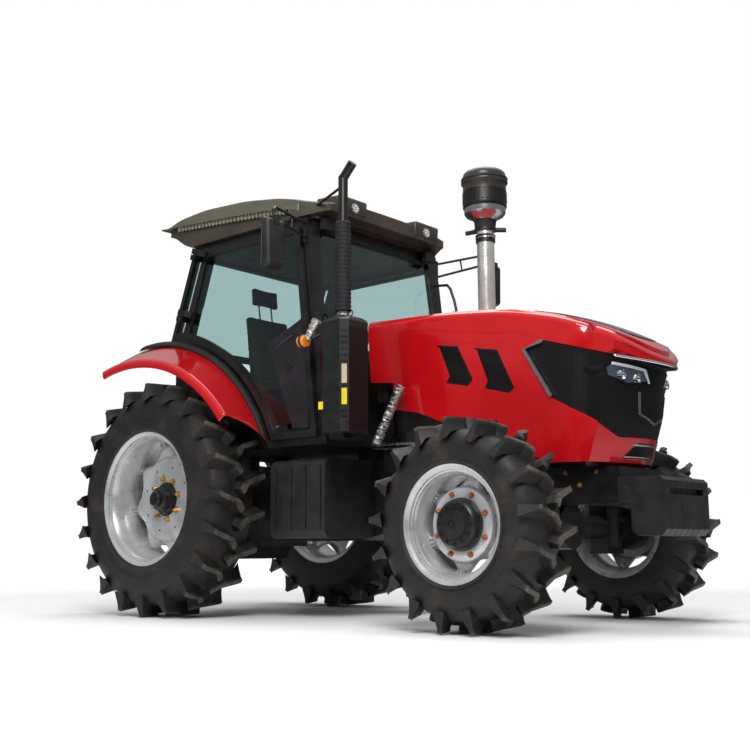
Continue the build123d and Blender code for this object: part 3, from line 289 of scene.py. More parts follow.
# %% The finishes
red_paint = finish("red_paint", (0.50, 0.004, 0.006), (0.56, 0.006, 0.010), (0.10, 0.16), 3.0,
                   grain=(900, 0.02, 0.001), coat=0.7, specular=0.35)
black_paint = finish("black_paint", (0.006, 0.006, 0.007), (0.012, 0.012, 0.013), (0.28, 0.42), 9.0,
                     grain=(700, 0.05, 0.001))
frame_paint = finish("frame_paint", (0.008, 0.008, 0.009), (0.018, 0.017, 0.016), (0.38, 0.60), 7.0,
                     grain=(350, 0.12, 0.001))
engine_paint = finish("engine_paint", (0.012, 0.012, 0.013), (0.03, 0.03, 0.03), (0.45, 0.65), 12.0,
                      grain=(300, 0.2, 0.002))
silver_paint = finish("silver_paint", (0.50, 0.51, 0.52), (0.60, 0.61, 0.62), (0.24, 0.36), 8.0,
                      metal=0.55, grain=(900, 0.03, 0.001))
rubber = finish("tyre_rubber", (0.012, 0.011, 0.011), (0.022, 0.020, 0.018), (0.55, 0.78), 10.0,
                grain=(260, 0.25, 0.001), specular=0.4)
black_plastic = finish("black_plastic", (0.010, 0.010, 0.011), (0.018, 0.018, 0.019), (0.42, 0.55), 10.0,
                       grain=(1200, 0.25, 0.0006))
roof_plastic = finish("roof_plastic", (0.085, 0.078, 0.052), (0.12, 0.11, 0.075), (0.22, 0.32), 4.0,
                      grain=(800, 0.05, 0.001), coat=0.4)
chrome = finish("chrome_plate", (0.72, 0.72, 0.74), (0.80, 0.80, 0.82), (0.05, 0.14), 9.0, metal=1.0)
steel = finish("polished_steel", (0.50, 0.50, 0.50), (0.62, 0.61, 0.60), (0.18, 0.34), 20.0, metal=1.0)
seat_cloth = finish("seat_fabric", (0.02, 0.02, 0.022), (0.045, 0.045, 0.05), (0.8, 0.95), 60.0,
                    grain=(1800, 0.5, 0.0008))


# %% [markdown]
# Cab glass is thin and tinted. A full refraction would darken twice through a pane, so
# the pane mixes a tinted see-through shader with a mirror, which grows as the pane is seen
# at a flatter angle. A Fresnel node would turn a pane's inner face into a full mirror, so
# the angle comes from Layer Weight's Facing.

# %% Glass
def glass(name, tint, mirror=0.04, rim=0.7):
    """A thin pane: mirror is its gloss seen square on, and rim is what a flat angle adds."""
    look, n_, link_ = shader(name)
    out_ = n_["Material Output"]
    n_.remove(n_["Principled BSDF"])
    clear = n_.new("ShaderNodeBsdfTransparent")
    clear.inputs["Color"].default_value = (*tint, 1)
    shine = n_.new("ShaderNodeBsdfGlossy")
    shine.inputs["Roughness"].default_value = 0.01
    shine.inputs["Color"].default_value = (0.9, 1.0, 1.0, 1)
    facing = n_.new("ShaderNodeLayerWeight")
    facing.inputs["Blend"].default_value = 0.5
    steep = n_.new("ShaderNodeMath")
    steep.operation = "POWER"
    link_(facing.outputs["Facing"], steep.inputs[0])
    steep.inputs[1].default_value = 4.0
    edge = n_.new("ShaderNodeMath")
    edge.operation = "MULTIPLY_ADD"
    link_(steep.outputs[0], edge.inputs[0])
    edge.inputs[1].default_value = rim
    edge.inputs[2].default_value = mirror
    mix = n_.new("ShaderNodeMixShader")
    link_(edge.outputs[0], mix.inputs["Fac"])
    link_(clear.outputs[0], mix.inputs[1])
    link_(shine.outputs[0], mix.inputs[2])
    link_(mix.outputs[0], out_.inputs["Surface"])
    return look


cab_glass = glass("tinted_glass", (0.78, 0.86, 0.86))

# %% [markdown]
# ## Finishes on the CAD solids
# A solid whose shape is right keeps its mesh and takes one of these finishes.

# %% Dress the solids
slot_looks = {
    "red_paint": red_paint, "black_paint": black_paint, "engine_paint": engine_paint,
    "silver_paint": silver_paint, "roof_plastic": roof_plastic, "black_plastic": black_plastic,
    "tinted_glass": cab_glass, "tyre_rubber": rubber, "polished_steel": steel,
    "chrome_plate": chrome, "seat_fabric": seat_cloth, "lamp_glass": cab_glass,
}
for part in frame["record"]["subparts"]:
    mesh = nodes[part["node"]].data
    mesh.materials.clear()
    mesh.materials.append(slot_looks[part["material_slot"]])

# %% [markdown]
# ## Tools for modelled pieces
# A piece starts as a bmesh. `piece` turns it into an object with its place in its mesh,
# smooth but for its sharp edges, riding on the body that carries it. The other tools are
# the shapes that come back again and again: spun profiles, rods, blocks, balls and hoops.

# %% Piece, wall, join and rounding
def piece(name, bm, body, look, sharp=32, replaces=(), slot=None, bevel=0.0, smooth=0, keep=False):
    """Finish a bmesh as an object that rides on a body and wears one finish."""
    if not keep:
        bmesh.ops.remove_doubles(bm, verts=bm.verts, dist=1e-6)
        bmesh.ops.recalc_face_normals(bm, faces=bm.faces)
    mesh = bpy.data.meshes.new(name)
    bm.to_mesh(mesh)
    bm.free()
    mesh.shade_smooth()
    mesh.set_sharp_from_angle(angle=math.radians(sharp))
    mesh.materials.append(look)
    thing = link_object(name, mesh)
    if bevel:
        edge = thing.modifiers.new("edges", "BEVEL")
        edge.width, edge.segments, edge.limit_method = bevel, 2, "ANGLE"
        edge.angle_limit = math.radians(35)
        edge.harden_normals = True
    if smooth:
        soft = thing.modifiers.new("surface", "SUBSURF")
        soft.levels = soft.render_levels = smooth
    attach(thing, body)
    if replaces:
        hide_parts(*replaces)
    print(name + ":", len(mesh.polygons), "faces")
    return thing


def walled(thing, thickness, offset=-1.0):
    """Give a sheet its wall; the offset says on which side of the sheet it lies."""
    wall = thing.modifiers.new("wall", "SOLIDIFY")
    wall.thickness, wall.offset = thickness, offset


def join(bm, other):
    """Add a bmesh to another; the added one is used up."""
    mesh = bpy.data.meshes.new("joined")
    other.to_mesh(mesh)
    other.free()
    bm.from_mesh(mesh)
    bpy.data.meshes.remove(mesh)


def rounded(bm, edges, offset, segments):
    """Round some edges off."""
    bmesh.ops.bevel(bm, geom=edges, offset=offset, segments=segments, profile=0.5, affect="EDGES",
                    material=-1)


# %% Spun shapes, rods, blocks and balls
def spun(bm, centre, profile, steps=96, hand=1, closed=False):
    """Spin (outboard, radius) points about a wheel's axle through centre."""
    verts = [bm.verts.new(centre + Vector((0, -hand * out, radius))) for out, radius in profile]
    pairs = list(zip(verts, verts[1:]))
    if closed:
        pairs.append((verts[-1], verts[0]))
    edges = [bm.edges.new(pair) for pair in pairs]
    bmesh.ops.spin(bm, geom=verts + edges, cent=centre, axis=(0, 1, 0), angle=math.tau, steps=steps,
                   use_merge=True)
    bmesh.ops.remove_doubles(bm, verts=bm.verts, dist=1e-5)


def torus(bm, centre, radius, thickness, sides_round, steps, axis):
    """Spin a small circle, which lies in the XZ plane, about an axis through a centre."""
    verts = [bm.verts.new(centre + Vector((radius + thickness * math.cos(t), 0, thickness * math.sin(t))))
             for t in (math.tau * number / sides_round for number in range(sides_round))]
    edges = [bm.edges.new(pair) for pair in zip(verts, verts[1:] + verts[:1])]
    bmesh.ops.spin(bm, geom=verts + edges, cent=centre, axis=axis, angle=math.tau, steps=steps,
                   use_merge=True)


def around(bm, geometry, centre, count, axis=(0, 1, 0)):
    """Repeat some geometry evenly about an axis."""
    bmesh.ops.spin(bm, geom=geometry, cent=centre, axis=axis, angle=math.tau * (count - 1) / count,
                   steps=count - 1, use_duplicate=True)


def everything(bm):
    """All that a bmesh holds, as an operator wants it."""
    return bm.verts[:] + bm.edges[:] + bm.faces[:]


def turned_to(direction):
    """Matrix that turns +Z to a direction."""
    return Vector(direction).to_track_quat("Z", "Y").to_matrix().to_4x4()


def rod(bm, start, end, radius, segments=16, tip_radius=None):
    """A round bar between two points."""
    start, end = Vector(start), Vector(end)
    tip = radius if tip_radius is None else tip_radius
    place = Matrix.Translation((start + end) / 2) @ turned_to(end - start)
    bmesh.ops.create_cone(bm, cap_ends=True, segments=segments, radius1=radius, radius2=tip,
                          depth=(end - start).length, matrix=place)


def brick(bm, low, high, turn=None, about=None):
    """A block between two corners, turned about a point if asked."""
    low, high = Vector(low), Vector(high)
    size = high - low
    verts = bmesh.ops.create_cube(bm, size=1.0, matrix=Matrix.Translation((low + high) / 2)
                                  @ Matrix.Diagonal((*size, 1.0)))["verts"]
    if turn is not None:
        bmesh.ops.rotate(bm, verts=verts, cent=Vector(about), matrix=turn.to_3x3())
    return verts


def ball(bm, centre, radius, segments, rings, stretch=(1, 1, 1)):
    """A sphere, stretched along the axes if asked."""
    bmesh.ops.create_uvsphere(bm, u_segments=segments, v_segments=rings, radius=radius,
                              matrix=Matrix.Translation(centre) @ Matrix.Diagonal((*stretch, 1)))


def smoothstep(low, high, value):
    """From 0 to 1 as a value runs from low to high, with soft ends."""
    t = min(max((value - low) / (high - low), 0.0), 1.0)
    return t * t * (3 - 2 * t)


# %% [markdown]
# ## Tyres
# Paddy lugs are tall narrow teeth: thin at the tip, flared at the root, running out along
# the tread and bent forward at the nose. One lug starts as a cube cut along its length and
# height. Its points are moved to their place on the tyre, its rim is bevelled, and it is
# repeated round the carcass, half a pitch apart on the two sides.

# %% Rubber with soil on it, and painted light on the lug crests
def make_rubber():
    """Black rubber with patches of dry soil, lighter where the crest attribute is high: painted light on the
    lug crests.
    """
    look, n_, link_ = shader("soiled_rubber_lit_crests")
    skin = n_["Principled BSDF"]
    skin.inputs["Specular IOR Level"].default_value = 0.42
    cloud = pattern(n_, link_, 5.0, 6.0, 0.62)
    fine = pattern(n_, link_, 55.0, 5.0, 0.7)
    clean = ramped(n_, link_, fine, 0.3, 0.7, (0.0085, 0.0080, 0.0085), (0.017, 0.0155, 0.0155))
    soiled = ramped(n_, link_, fine, 0.3, 0.75, (0.022, 0.016, 0.012), (0.055, 0.042, 0.032))
    mix = n_.new("ShaderNodeMix")
    mix.data_type = "RGBA"
    link_(ramped(n_, link_, cloud, 0.52, 0.74, (0, 0, 0), (1, 1, 1)), mix.inputs["Factor"])
    link_(clean, mix.inputs[6])
    link_(soiled, mix.inputs[7])
    # The crests are lightened: painted light on the lug tips, which leaves the roots between the lugs darker
    # as painted shade.
    crest = n_.new("ShaderNodeAttribute")
    crest.attribute_name = "crest"
    crest_light_share = n_.new("ShaderNodeMath")
    crest_light_share.operation = "MULTIPLY"
    link_(crest.outputs["Fac"], crest_light_share.inputs[0])
    link_(ramped(n_, link_, cloud, 0.42, 0.60, (0.15,) * 3, (1, 1, 1)), crest_light_share.inputs[1])
    crest_light_mix = n_.new("ShaderNodeMix")
    crest_light_mix.data_type = "RGBA"
    link_(crest_light_share.outputs[0], crest_light_mix.inputs["Factor"])
    link_(mix.outputs[2], crest_light_mix.inputs[6])
    link_(ramped(n_, link_, fine, 0.3, 0.7, (0.060, 0.050, 0.038), (0.17, 0.15, 0.12)), crest_light_mix.inputs[7])
    link_(crest_light_mix.outputs[2], skin.inputs["Base Color"])
    link_(ramped(n_, link_, cloud, 0.3, 0.75, (0.42,) * 3, (0.75,) * 3), skin.inputs["Roughness"])
    link_(bumped(n_, link_, fine, 0.25, 0.0012), skin.inputs["Normal"])
    return look


soiled_rubber_lit_crests = make_rubber()


# %% One lug, bent and flared
def lug(bm, hub, radius, width, height, hand, phase):
    """A paddy lug from the tyre's middle plane outboard on one side (hand 1 is -Y)."""
    bmesh.ops.create_cube(bm, size=1.0, matrix=Matrix.Translation((0.5, 0, 0.5)))
    along = [e for e in bm.edges if abs(e.verts[0].co.x - e.verts[1].co.x) > 0.5]
    bmesh.ops.subdivide_edges(bm, edges=along, cuts=8, use_grid_fill=True)
    up = [e for e in bm.edges if abs(e.verts[0].co.z - e.verts[1].co.z) > 0.5]
    bmesh.ops.subdivide_edges(bm, edges=up, cuts=3, use_grid_fill=True)
    root = radius - height - 0.022
    tip_width, root_width = 0.40 * height, 1.45 * height
    # The lug's line on the tread: (outboard, forward) at its nose, its bend and its end.
    nose, bend, end = (-0.004, 0.86 * height), (0.10 * width, 0.05 * height), (0.50 * width, -0.74 * height)
    bend_at = 0.3
    for v in bm.verts:
        u, side, w = v.co
        if u < bend_at:
            start, stop, share, lean = nose, bend, u / bend_at, 0.8
        else:
            start, stop, share, lean = bend, end, (u - bend_at) / (1 - bend_at), 0.25
        s = start[0] + share * (stop[0] - start[0])
        c = start[1] + share * (stop[1] - start[1])
        foot = (1 - w) ** 1.7
        breadth = tip_width + (root_width - tip_width) * foot * (0.55 + 0.45 * smoothstep(0.0, 0.5, u))
        flare = foot * smoothstep(0.85, 1.0, u)
        s += side * breadth * lean + 0.030 * flare - 0.010 * w * smoothstep(0.9, 1.0, u)
        c += side * breadth + 0.21 * height * foot * smoothstep(0.15, 0.0, u)
        r = root + w * (radius - root) - 0.050 * flare
        turn = phase + c / radius
        v.co = hub + Vector((r * math.sin(turn), -hand * s, r * math.cos(turn)))
    crests = [e for e in bm.edges if e.is_manifold and e.calc_face_angle(0) > math.radians(40)
              and min((v.co - hub).xz.length for v in e.verts) > root + 0.5 * height]
    rounded(bm, crests, 0.0035, 2)


def tyre(name, node, body, radius, width, height, count, bead, flange, rim_half, phase, hand):
    """Carcass and lugs; hand 1 is the machine's right side."""
    hub = middle(node)
    half = width / 2
    crown = radius - height

    def up(share):
        """A radius on the side wall, from the bead (0) to the crown (1)."""
        return bead + share * (crown - bead)

    bm = bmesh.new()
    spun(bm, hub, [
        (-rim_half + 0.010, bead + 0.004), (-rim_half + 0.004, flange - 0.012),
        (-rim_half - 0.004, flange + 0.004), (-half, up(0.30)), (-half - 0.003, up(0.48)),
        (-half + 0.003, up(0.66)), (-half + 0.020, crown - 0.052), (-half + 0.045, crown - 0.026),
        (-0.5 * half, crown - 0.008), (0, crown - 0.002), (0.5 * half, crown - 0.008),
        (half - 0.045, crown - 0.026), (half - 0.020, crown - 0.052), (half - 0.003, up(0.66)),
        (half + 0.003, up(0.50)), (half + 0.001, up(0.46)), (half + 0.0025, up(0.44)),
        (half, up(0.30)), (half - 0.004, up(0.20)),
        (rim_half + 0.012, flange + 0.016), (rim_half + 0.009, flange + 0.010),
        (rim_half + 0.006, flange + 0.006), (rim_half - 0.004, flange - 0.012),
        (rim_half - 0.010, bead + 0.004),
    ], steps=128, hand=hand, closed=True)
    for side in (1, -1):
        tooth = bmesh.new()
        offset = 0 if side == 1 else math.pi / count
        lug(tooth, hub, radius, width, height, side * hand, phase + offset)
        around(tooth, everything(tooth), hub, count)
        join(bm, tooth)
    # The crest attribute marks the lug tips, where the rubber's painted light goes.
    crest = bm.verts.layers.float.new("crest")
    widest = radius - 0.0005
    for v in bm.verts:
        reach = math.hypot(v.co.x - hub.x, v.co.z - hub.z)
        v[crest] = smoothstep(radius - 0.016, radius - 0.003, reach)
        if reach > widest:
            shrink = widest / reach
            v.co.x, v.co.z = hub.x + (v.co.x - hub.x) * shrink, hub.z + (v.co.z - hub.z) * shrink
    piece(name, bm, body, soiled_rubber_lit_crests, sharp=38, replaces=(node,), slot="tyre_rubber")


# %% Four tyres
rear_tyre = dict(radius=0.878, width=0.447, height=0.074, count=20, bead=0.483, flange=0.508,
                 rim_half=0.215)
front_tyre = dict(radius=0.633, width=0.373, height=0.062, count=17, bead=0.330, flange=0.356,
                  rim_half=0.180)
for axle, size, phases in (("rear", rear_tyre, (0.05, 0.12)), ("front", front_tyre, (0.03, 0.10))):
    for (side, hand), phase in zip(sides, phases):
        tyre(f"tread_{axle}_{side}", f"tyre_{axle}_{side}", f"{axle}_wheel_{side}",
             phase=phase, hand=hand, **size)

# %% [markdown]
# ## Wheels
# A rim is a rolled section, so its profile is spun. The disc is pressed from plate with
# scallops between its lugs: a ring of points whose radius follows the scallops is extruded
# inwards, ring by ring, to the hub. Solidify gives the plate its thickness.

# %% Wheel finishes
nut_gold = finish("yellow_zinc", (0.55, 0.33, 0.08), (0.70, 0.46, 0.16), (0.22, 0.35), 30.0, metal=0.9)
nut_copper = finish("copper_zinc", (0.52, 0.20, 0.09), (0.62, 0.30, 0.13), (0.25, 0.38), 30.0, metal=0.9)


# %% Wheel parts
def rim(name, node, body, bead, flange, half, hand):
    """The rolled rim with its flanges, bead seats and drop centre."""
    hub = middle(node)
    bm = bmesh.new()
    outer = [
        (half - 0.012, flange - 0.002), (half - 0.006, flange + 0.002), (half, flange - 0.003),
        (half - 0.001, flange - 0.010), (half - 0.010, bead + 0.004), (half - 0.018, bead - 0.010),
        (half - 0.032, bead - 0.012), (half - 0.036, bead - 0.022), (half - 0.050, bead - 0.026),
        (half - 0.056, bead - 0.034), (half - 0.090, bead - 0.036), (half - 0.105, bead - 0.046),
    ]
    inner = [(-out, radius) for out, radius in reversed(outer)]
    back = [(-half + 0.014, bead + 0.002), (-half + 0.090, bead - 0.026), (half - 0.090, bead - 0.026),
            (half - 0.014, bead + 0.002)]
    spun(bm, hub, outer + inner + back, steps=128, hand=hand, closed=True)
    piece(name, bm, body, silver_paint, sharp=50, replaces=(node,), slot="silver_paint")


def scalloped(bm, hub, hand, lugs, rings, phase, steps=16):
    """A disc in rings of (lug radius, scallop depth, outboard); the last ring is the hub hole."""
    def radius_at(turn, lug_radius, depth):
        wave = (1 - math.cos(lugs * (turn - phase))) / 2
        return lug_radius - depth * wave ** 0.7

    first = bmesh.ops.create_circle(bm, segments=lugs * steps, radius=1.0,
                                    matrix=Matrix.Rotation(math.radians(90), 4, "X"))["verts"]
    turns = {v: math.atan2(v.co.z, v.co.x) for v in first}
    ring = [e for e in bm.edges if e.verts[0] in turns and e.verts[1] in turns]
    for number, (lug_radius, depth, out) in enumerate(rings):
        if number:
            made = bmesh.ops.extrude_edge_only(bm, edges=ring)["geom"]
            fresh = [g for g in made if isinstance(g, bmesh.types.BMVert)]
            turns = {v: math.atan2((v.co - hub).z, (v.co - hub).x) for v in fresh}
            ring = [e for e in made if isinstance(e, bmesh.types.BMEdge)
                    and e.verts[0] in turns and e.verts[1] in turns]
        for v, turn in turns.items():
            r = radius_at(turn, lug_radius, depth)
            v.co = hub + Vector((r * math.cos(turn), -hand * out, r * math.sin(turn)))


def wheel_disc(name, node, body, hand, lugs, rings, phase, thickness):
    """The pressed disc: its scalloped sheet with a wall and softened edges."""
    bm = bmesh.new()
    scalloped(bm, middle(node), hand, lugs, rings, phase)
    disc = piece(name, bm, body, silver_paint, sharp=40, slot="silver_paint")
    wall = disc.modifiers.new("plate", "SOLIDIFY")
    wall.thickness, wall.offset = thickness, 0
    edge = disc.modifiers.new("edges", "BEVEL")
    edge.width, edge.segments, edge.limit_method = 0.002, 2, "ANGLE"


# %% Nuts and clips
def nut(bm, place, size, length, hand, turn=0.0):
    """A hexagon nut with its stud, standing outboard of a point."""
    out = Vector((0, -hand, 0))
    place = Vector(place)
    bmesh.ops.create_cone(bm, cap_ends=True, segments=6, radius1=size, radius2=size, depth=length,
                          matrix=Matrix.Translation(place + out * length / 2) @ turned_to(out)
                          @ Matrix.Rotation(turn, 4, "Z"))
    rod(bm, place, place + out * 0.12 * length, size * 1.35, 20)
    rod(bm, place, place + out * (length * 1.45), size * 0.5, 12)


def nut_ring(name, node, body, look, hand, count, circle, out, size, length, phase=0.0):
    """A ring of nuts about a wheel's axle."""
    bm = bmesh.new()
    hub = middle(node)
    for number in range(count):
        turn = phase + number * math.tau / count
        spot = hub + Vector((circle * math.cos(turn), -hand * out, circle * math.sin(turn)))
        nut(bm, spot, size, length, hand, turn)
    piece(name, bm, body, look, sharp=30, bevel=0.0012)


def clips(name, node, body, hand, count, circle, out, phase, reach, width):
    """Brackets on the rim that the disc's lugs bolt to, each with its bolt."""
    bm = bmesh.new()
    hub = middle(node)

    def by_rim(up, shift, aside):
        """A point by the rim: up from the bolt circle, shifted along the axle, aside round it."""
        return hub + Vector((circle + up, -hand * out + shift, aside))

    for side in (-1, 1):
        brick(bm, by_rim(-0.006, -0.036, side * width - 0.004), by_rim(reach, 0.036, side * width + 0.004))
    pin, bolt = reach * 0.25, reach * 0.1
    rod(bm, by_rim(pin, -hand * 0.012, -width * 1.35), by_rim(pin, -hand * 0.012, width * 1.35), 0.009, 12)
    rod(bm, by_rim(bolt, hand * 0.03, 0), by_rim(bolt, -hand * 0.032, 0), 0.010, 6)
    rod(bm, by_rim(bolt, hand * 0.03, 0), by_rim(bolt, -hand * 0.018, 0), 0.017, 6)
    bmesh.ops.rotate(bm, verts=bm.verts, cent=hub, matrix=Matrix.Rotation(-phase, 3, "Y"))
    around(bm, everything(bm), hub, count)
    piece(name, bm, body, silver_paint, sharp=30, bevel=0.0012)


# %% Profiles of discs and hubs
# Discs are rings of (lug radius, scallop depth, outboard); hubs are (outboard, radius).
rear_disc = [(0.452, 0.105, -0.060), (0.446, 0.104, -0.055), (0.405, 0.075, -0.030), (0.372, 0.046, -0.022),
             (0.330, 0.012, -0.020), (0.318, 0.004, -0.010), (0.305, 0.0, -0.002), (0.200, 0.0, 0.0),
             (0.110, 0.0, 0.0)]
rear_centre = [(-0.16, 0.10), (-0.16, 0.13), (0.006, 0.13), (0.008, 0.118), (0.030, 0.112), (0.034, 0.096),
               (0.078, 0.090), (0.086, 0.082), (0.090, 0.060), (0.116, 0.056), (0.122, 0.050),
               (0.122, 0.022), (0.128, 0.020), (0.130, 0.0005)]
front_disc = [(0.303, 0.085, -0.010), (0.298, 0.083, -0.004), (0.268, 0.052, 0.012), (0.240, 0.022, 0.022),
              (0.228, 0.008, 0.026), (0.222, 0.002, 0.042), (0.214, 0.0, 0.058), (0.200, 0.0, 0.064),
              (0.150, 0.0, 0.066)]
front_centre = [(-0.10, 0.09), (-0.10, 0.150), (0.066, 0.158), (0.078, 0.157), (0.082, 0.150),
                (0.112, 0.148), (0.128, 0.140), (0.138, 0.128), (0.140, 0.094), (0.148, 0.090),
                (0.158, 0.086), (0.160, 0.030), (0.156, 0.028), (0.156, 0.014), (0.165, 0.012),
                (0.165, 0.0005)]
rear_phase, front_phase = math.radians(11), math.radians(22)
disc_holes, hole_circle = 8, 0.245

# %% Rear and front wheels
for side, hand in sides:
    node, body = "wheel_rear_" + side, "rear_wheel_" + side
    hub = middle("tyre_rear_" + side)
    rim("rim_rear_" + side, node, body, 0.483, 0.508, 0.215, hand)
    wheel_disc("disc_rear_" + side, node, body, hand, 8, rear_disc, rear_phase, 0.011)
    clips("rim_clips_rear_" + side, node, body, hand, 8, 0.425, -0.045, rear_phase, 0.045, 0.026)
    bm = bmesh.new()
    spun(bm, hub, rear_centre, steps=64, hand=hand)
    piece("hub_rear_" + side, bm, body, black_paint, sharp=35)
    nut_ring("nuts_rear_" + side, node, body, nut_gold, hand, 8, 0.155, 0.006, 0.017, 0.024, 0.2)
    nut_ring("hub_bolts_rear_" + side, node, body, black_paint, hand, 10, 0.102, 0.022, 0.009, 0.010)
    bm = bmesh.new()
    for number in range(disc_holes):
        turn = 0.5 + number * math.tau / disc_holes
        place = hub + Vector((hole_circle * math.cos(turn), -hand * 0.0052, hole_circle * math.sin(turn)))
        rod(bm, place, place + Vector((0, -hand * 0.0012, 0)), 0.0085, 20)
    piece("disc_holes_rear_" + side, bm, body, black_plastic)

    node, body = "wheel_front_" + side, "front_wheel_" + side
    hub = middle("tyre_front_" + side)
    rim("rim_front_" + side, node, body, 0.330, 0.356, 0.180, hand)
    wheel_disc("disc_front_" + side, node, body, hand, 6, front_disc, front_phase, 0.010)
    clips("rim_clips_front_" + side, node, body, hand, 6, 0.272, 0.0, front_phase, 0.030, 0.024)
    bm = bmesh.new()
    spun(bm, hub, front_centre, steps=64, hand=hand)
    piece("hub_front_" + side, bm, body, black_paint, sharp=35)
    nut_ring("nuts_front_" + side, node, body, nut_copper, hand, 8, 0.186, 0.070, 0.014, 0.018, 0.35)
    nut_ring("hub_bolts_front_" + side, node, body, black_paint, hand, 12, 0.112, 0.139, 0.008, 0.008)

# %% [markdown]
# ## Hood and nose
# The hood is one crowned form. A cube cut into a lattice is bent to it: each point keeps
# its share of length, width and height, and gets the hood's own width, top line and
# bowed nose there. The shoulders are bevelled round. A second form, drawn in by the
# sheet, hollows it, and prisms drawn in side view cut the mask, the vents and the seams.

# %% Lines and tools of the hood
hood_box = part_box("hood")
hood_rear = hood_box[0][0]
hood_front = hood_box[1][0]
hood_half = (hood_box[1][1] - hood_box[0][1]) / 2
print("hood:", round(hood_front - hood_rear, 3), "long,", round(2 * hood_half, 3), "wide")
top_line = ((1.583, 2.152), (2.35, 2.122), (2.80, 2.072), (3.20, 1.972), (3.50, 1.842), (3.64, 1.752),
            (3.80, 1.58))
crease_line = ((1.4, 1.75), (1.583, 1.714), (1.937, 1.647), (2.385, 1.553), (2.832, 1.441), (3.152, 1.325),
               (3.44, 1.215), (3.9, 1.10))
nose_line = ((0.90, 3.47), (1.13, 3.56), (1.25, 3.602), (1.592, 3.655), (1.60, 3.712), (1.62, 3.718),
             (2.2, 3.718))


def along(line, x):
    """Read a broken line: the second value at a first value."""
    for (x0, y0), (x1, y1) in zip(line, line[1:]):
        if x <= x1:
            return y0 + (y1 - y0) * max(0.0, x - x0) / (x1 - x0)
    return line[-1][1]


def bowed_line(x):
    """The hood's top line with its corners eased."""
    return sum(along(top_line, x + shift) for shift in (-0.12, -0.06, 0, 0.06, 0.12)) / 5


def flank(x, inset=0.0):
    """Half of the hood's width at a station: it turns in towards the nose."""
    return hood_half - inset - 0.040 * smoothstep(3.16, 3.50, x) ** 1.4


def bow(y):
    """How far the nose's face lies back from its middle, in plan."""
    return 0.176 * (abs(y) / 0.384) ** 2


def bow_back(y, u):
    """How far a point of the hood is drawn back by the nose's bow; u is its share of the length."""
    return bow(y) * smoothstep(0.78, 1.0, u) * (0.6 + 0.4 * u)


def crown_height(x, across, inset=0.0):
    """The height of the hood's crown, which falls a little from its middle to its flanks."""
    return bowed_line(x) - inset - 0.030 * across ** 2 * smoothstep(3.9, 3.2, x)


def applied(bm, name, *changes):
    """Turn a bmesh into a mesh with modifiers applied: changes = (type, {setting: value})."""
    mesh = bpy.data.meshes.new(name)
    bm.to_mesh(mesh)
    bm.free()
    thing = link_object(name, mesh)
    for kind, settings in changes:
        change = thing.modifiers.new(kind.lower(), kind)
        for key, value in settings.items():
            setattr(change, key, value)
    bpy.context.view_layer.update()
    done = bpy.data.meshes.new_from_object(thing.evaluated_get(bpy.context.evaluated_depsgraph_get()))
    bpy.data.objects.remove(thing)
    bpy.data.meshes.remove(mesh)
    fresh = bmesh.new()
    fresh.from_mesh(done)
    bpy.data.meshes.remove(done)
    return fresh


def lattice(cuts):
    """A cube from 0 to 1 ahead and up and from -0.5 to 0.5 across, cut into even cells."""
    bm = bmesh.new()
    bmesh.ops.create_cube(bm, size=1.0, matrix=Matrix.Translation((0.5, 0, 0.5)))
    for axis, count in enumerate(cuts):
        edges = [e for e in bm.edges if abs((e.verts[0].co - e.verts[1].co)[axis]) > 0.9]
        bmesh.ops.subdivide_edges(bm, edges=edges, cuts=count, use_grid_fill=True)
    return bm


# %% The hood's form
def hood_form(inset, rear, foot, shoulder):
    """The hood's closed form drawn in by an inset, with round shoulders."""
    bm = lattice((43, 15, 15))
    shoulders = [e for e in bm.edges if all(v.co.z > 0.999 and abs(v.co.y) > 0.499 for v in e.verts)
                 or all(v.co.z > 0.999 and v.co.x > 0.999 for v in e.verts)]
    for v in bm.verts:
        u, side, w = v.co
        across = 2 * side
        z = foot + w * (1.70 - foot)
        front = along(nose_line, z) - inset
        x = rear + u * (front - rear)
        half = flank(x, inset)
        half -= 0.10 * max(0.0, along(crease_line, x) - z) * smoothstep(3.45, 2.9, x)
        y = across * half
        x -= bow_back(y, u)
        v.co = (ahead(x), y, foot + w * (crown_height(x, across, inset) - foot))
    rounded(bm, shoulders, shoulder, 6)
    bmesh.ops.recalc_face_normals(bm, faces=bm.faces)
    return bm


# %% Cutters
def side_prism(points, near=-1.0, far=1.0):
    """A side-view outline (ahead, up) extruded across the machine."""
    bm = bmesh.new()
    ring = bmesh.ops.create_circle(bm, cap_ends=True, segments=len(points), radius=1.0)["verts"]
    for v, (x, z) in zip(ring, points):
        v.co = (ahead(x), near, z)
    bmesh.ops.extrude_face_region(bm, geom=bm.faces[:])
    for v in ring:
        v.co.y = far
    bmesh.ops.recalc_face_normals(bm, faces=bm.faces)
    return bm


def ribbon(points, width):
    """Outline of a strip that follows a broken line in side view."""
    left, right = [], []
    for n, (x, z) in enumerate(points):
        before, after = points[max(n - 1, 0)], points[min(n + 1, len(points) - 1)]
        run = Vector((after[0] - before[0], after[1] - before[1])).normalized()
        left.append((x - run.y * width / 2, z + run.x * width / 2))
        right.append((x + run.y * width / 2, z - run.x * width / 2))
    return left + right[::-1]


def carve(bm, cutter, operation="DIFFERENCE"):
    """Boolean of two closed bmeshes; the cutter is used up."""
    mesh = bpy.data.meshes.new("cutter")
    cutter.to_mesh(mesh)
    cutter.free()
    tool = link_object("cutter", mesh)
    done = applied(bm, "carved", ("BOOLEAN", {"object": tool, "operation": operation, "solver": "EXACT"}))
    bpy.data.objects.remove(tool)
    bpy.data.meshes.remove(mesh)
    return done


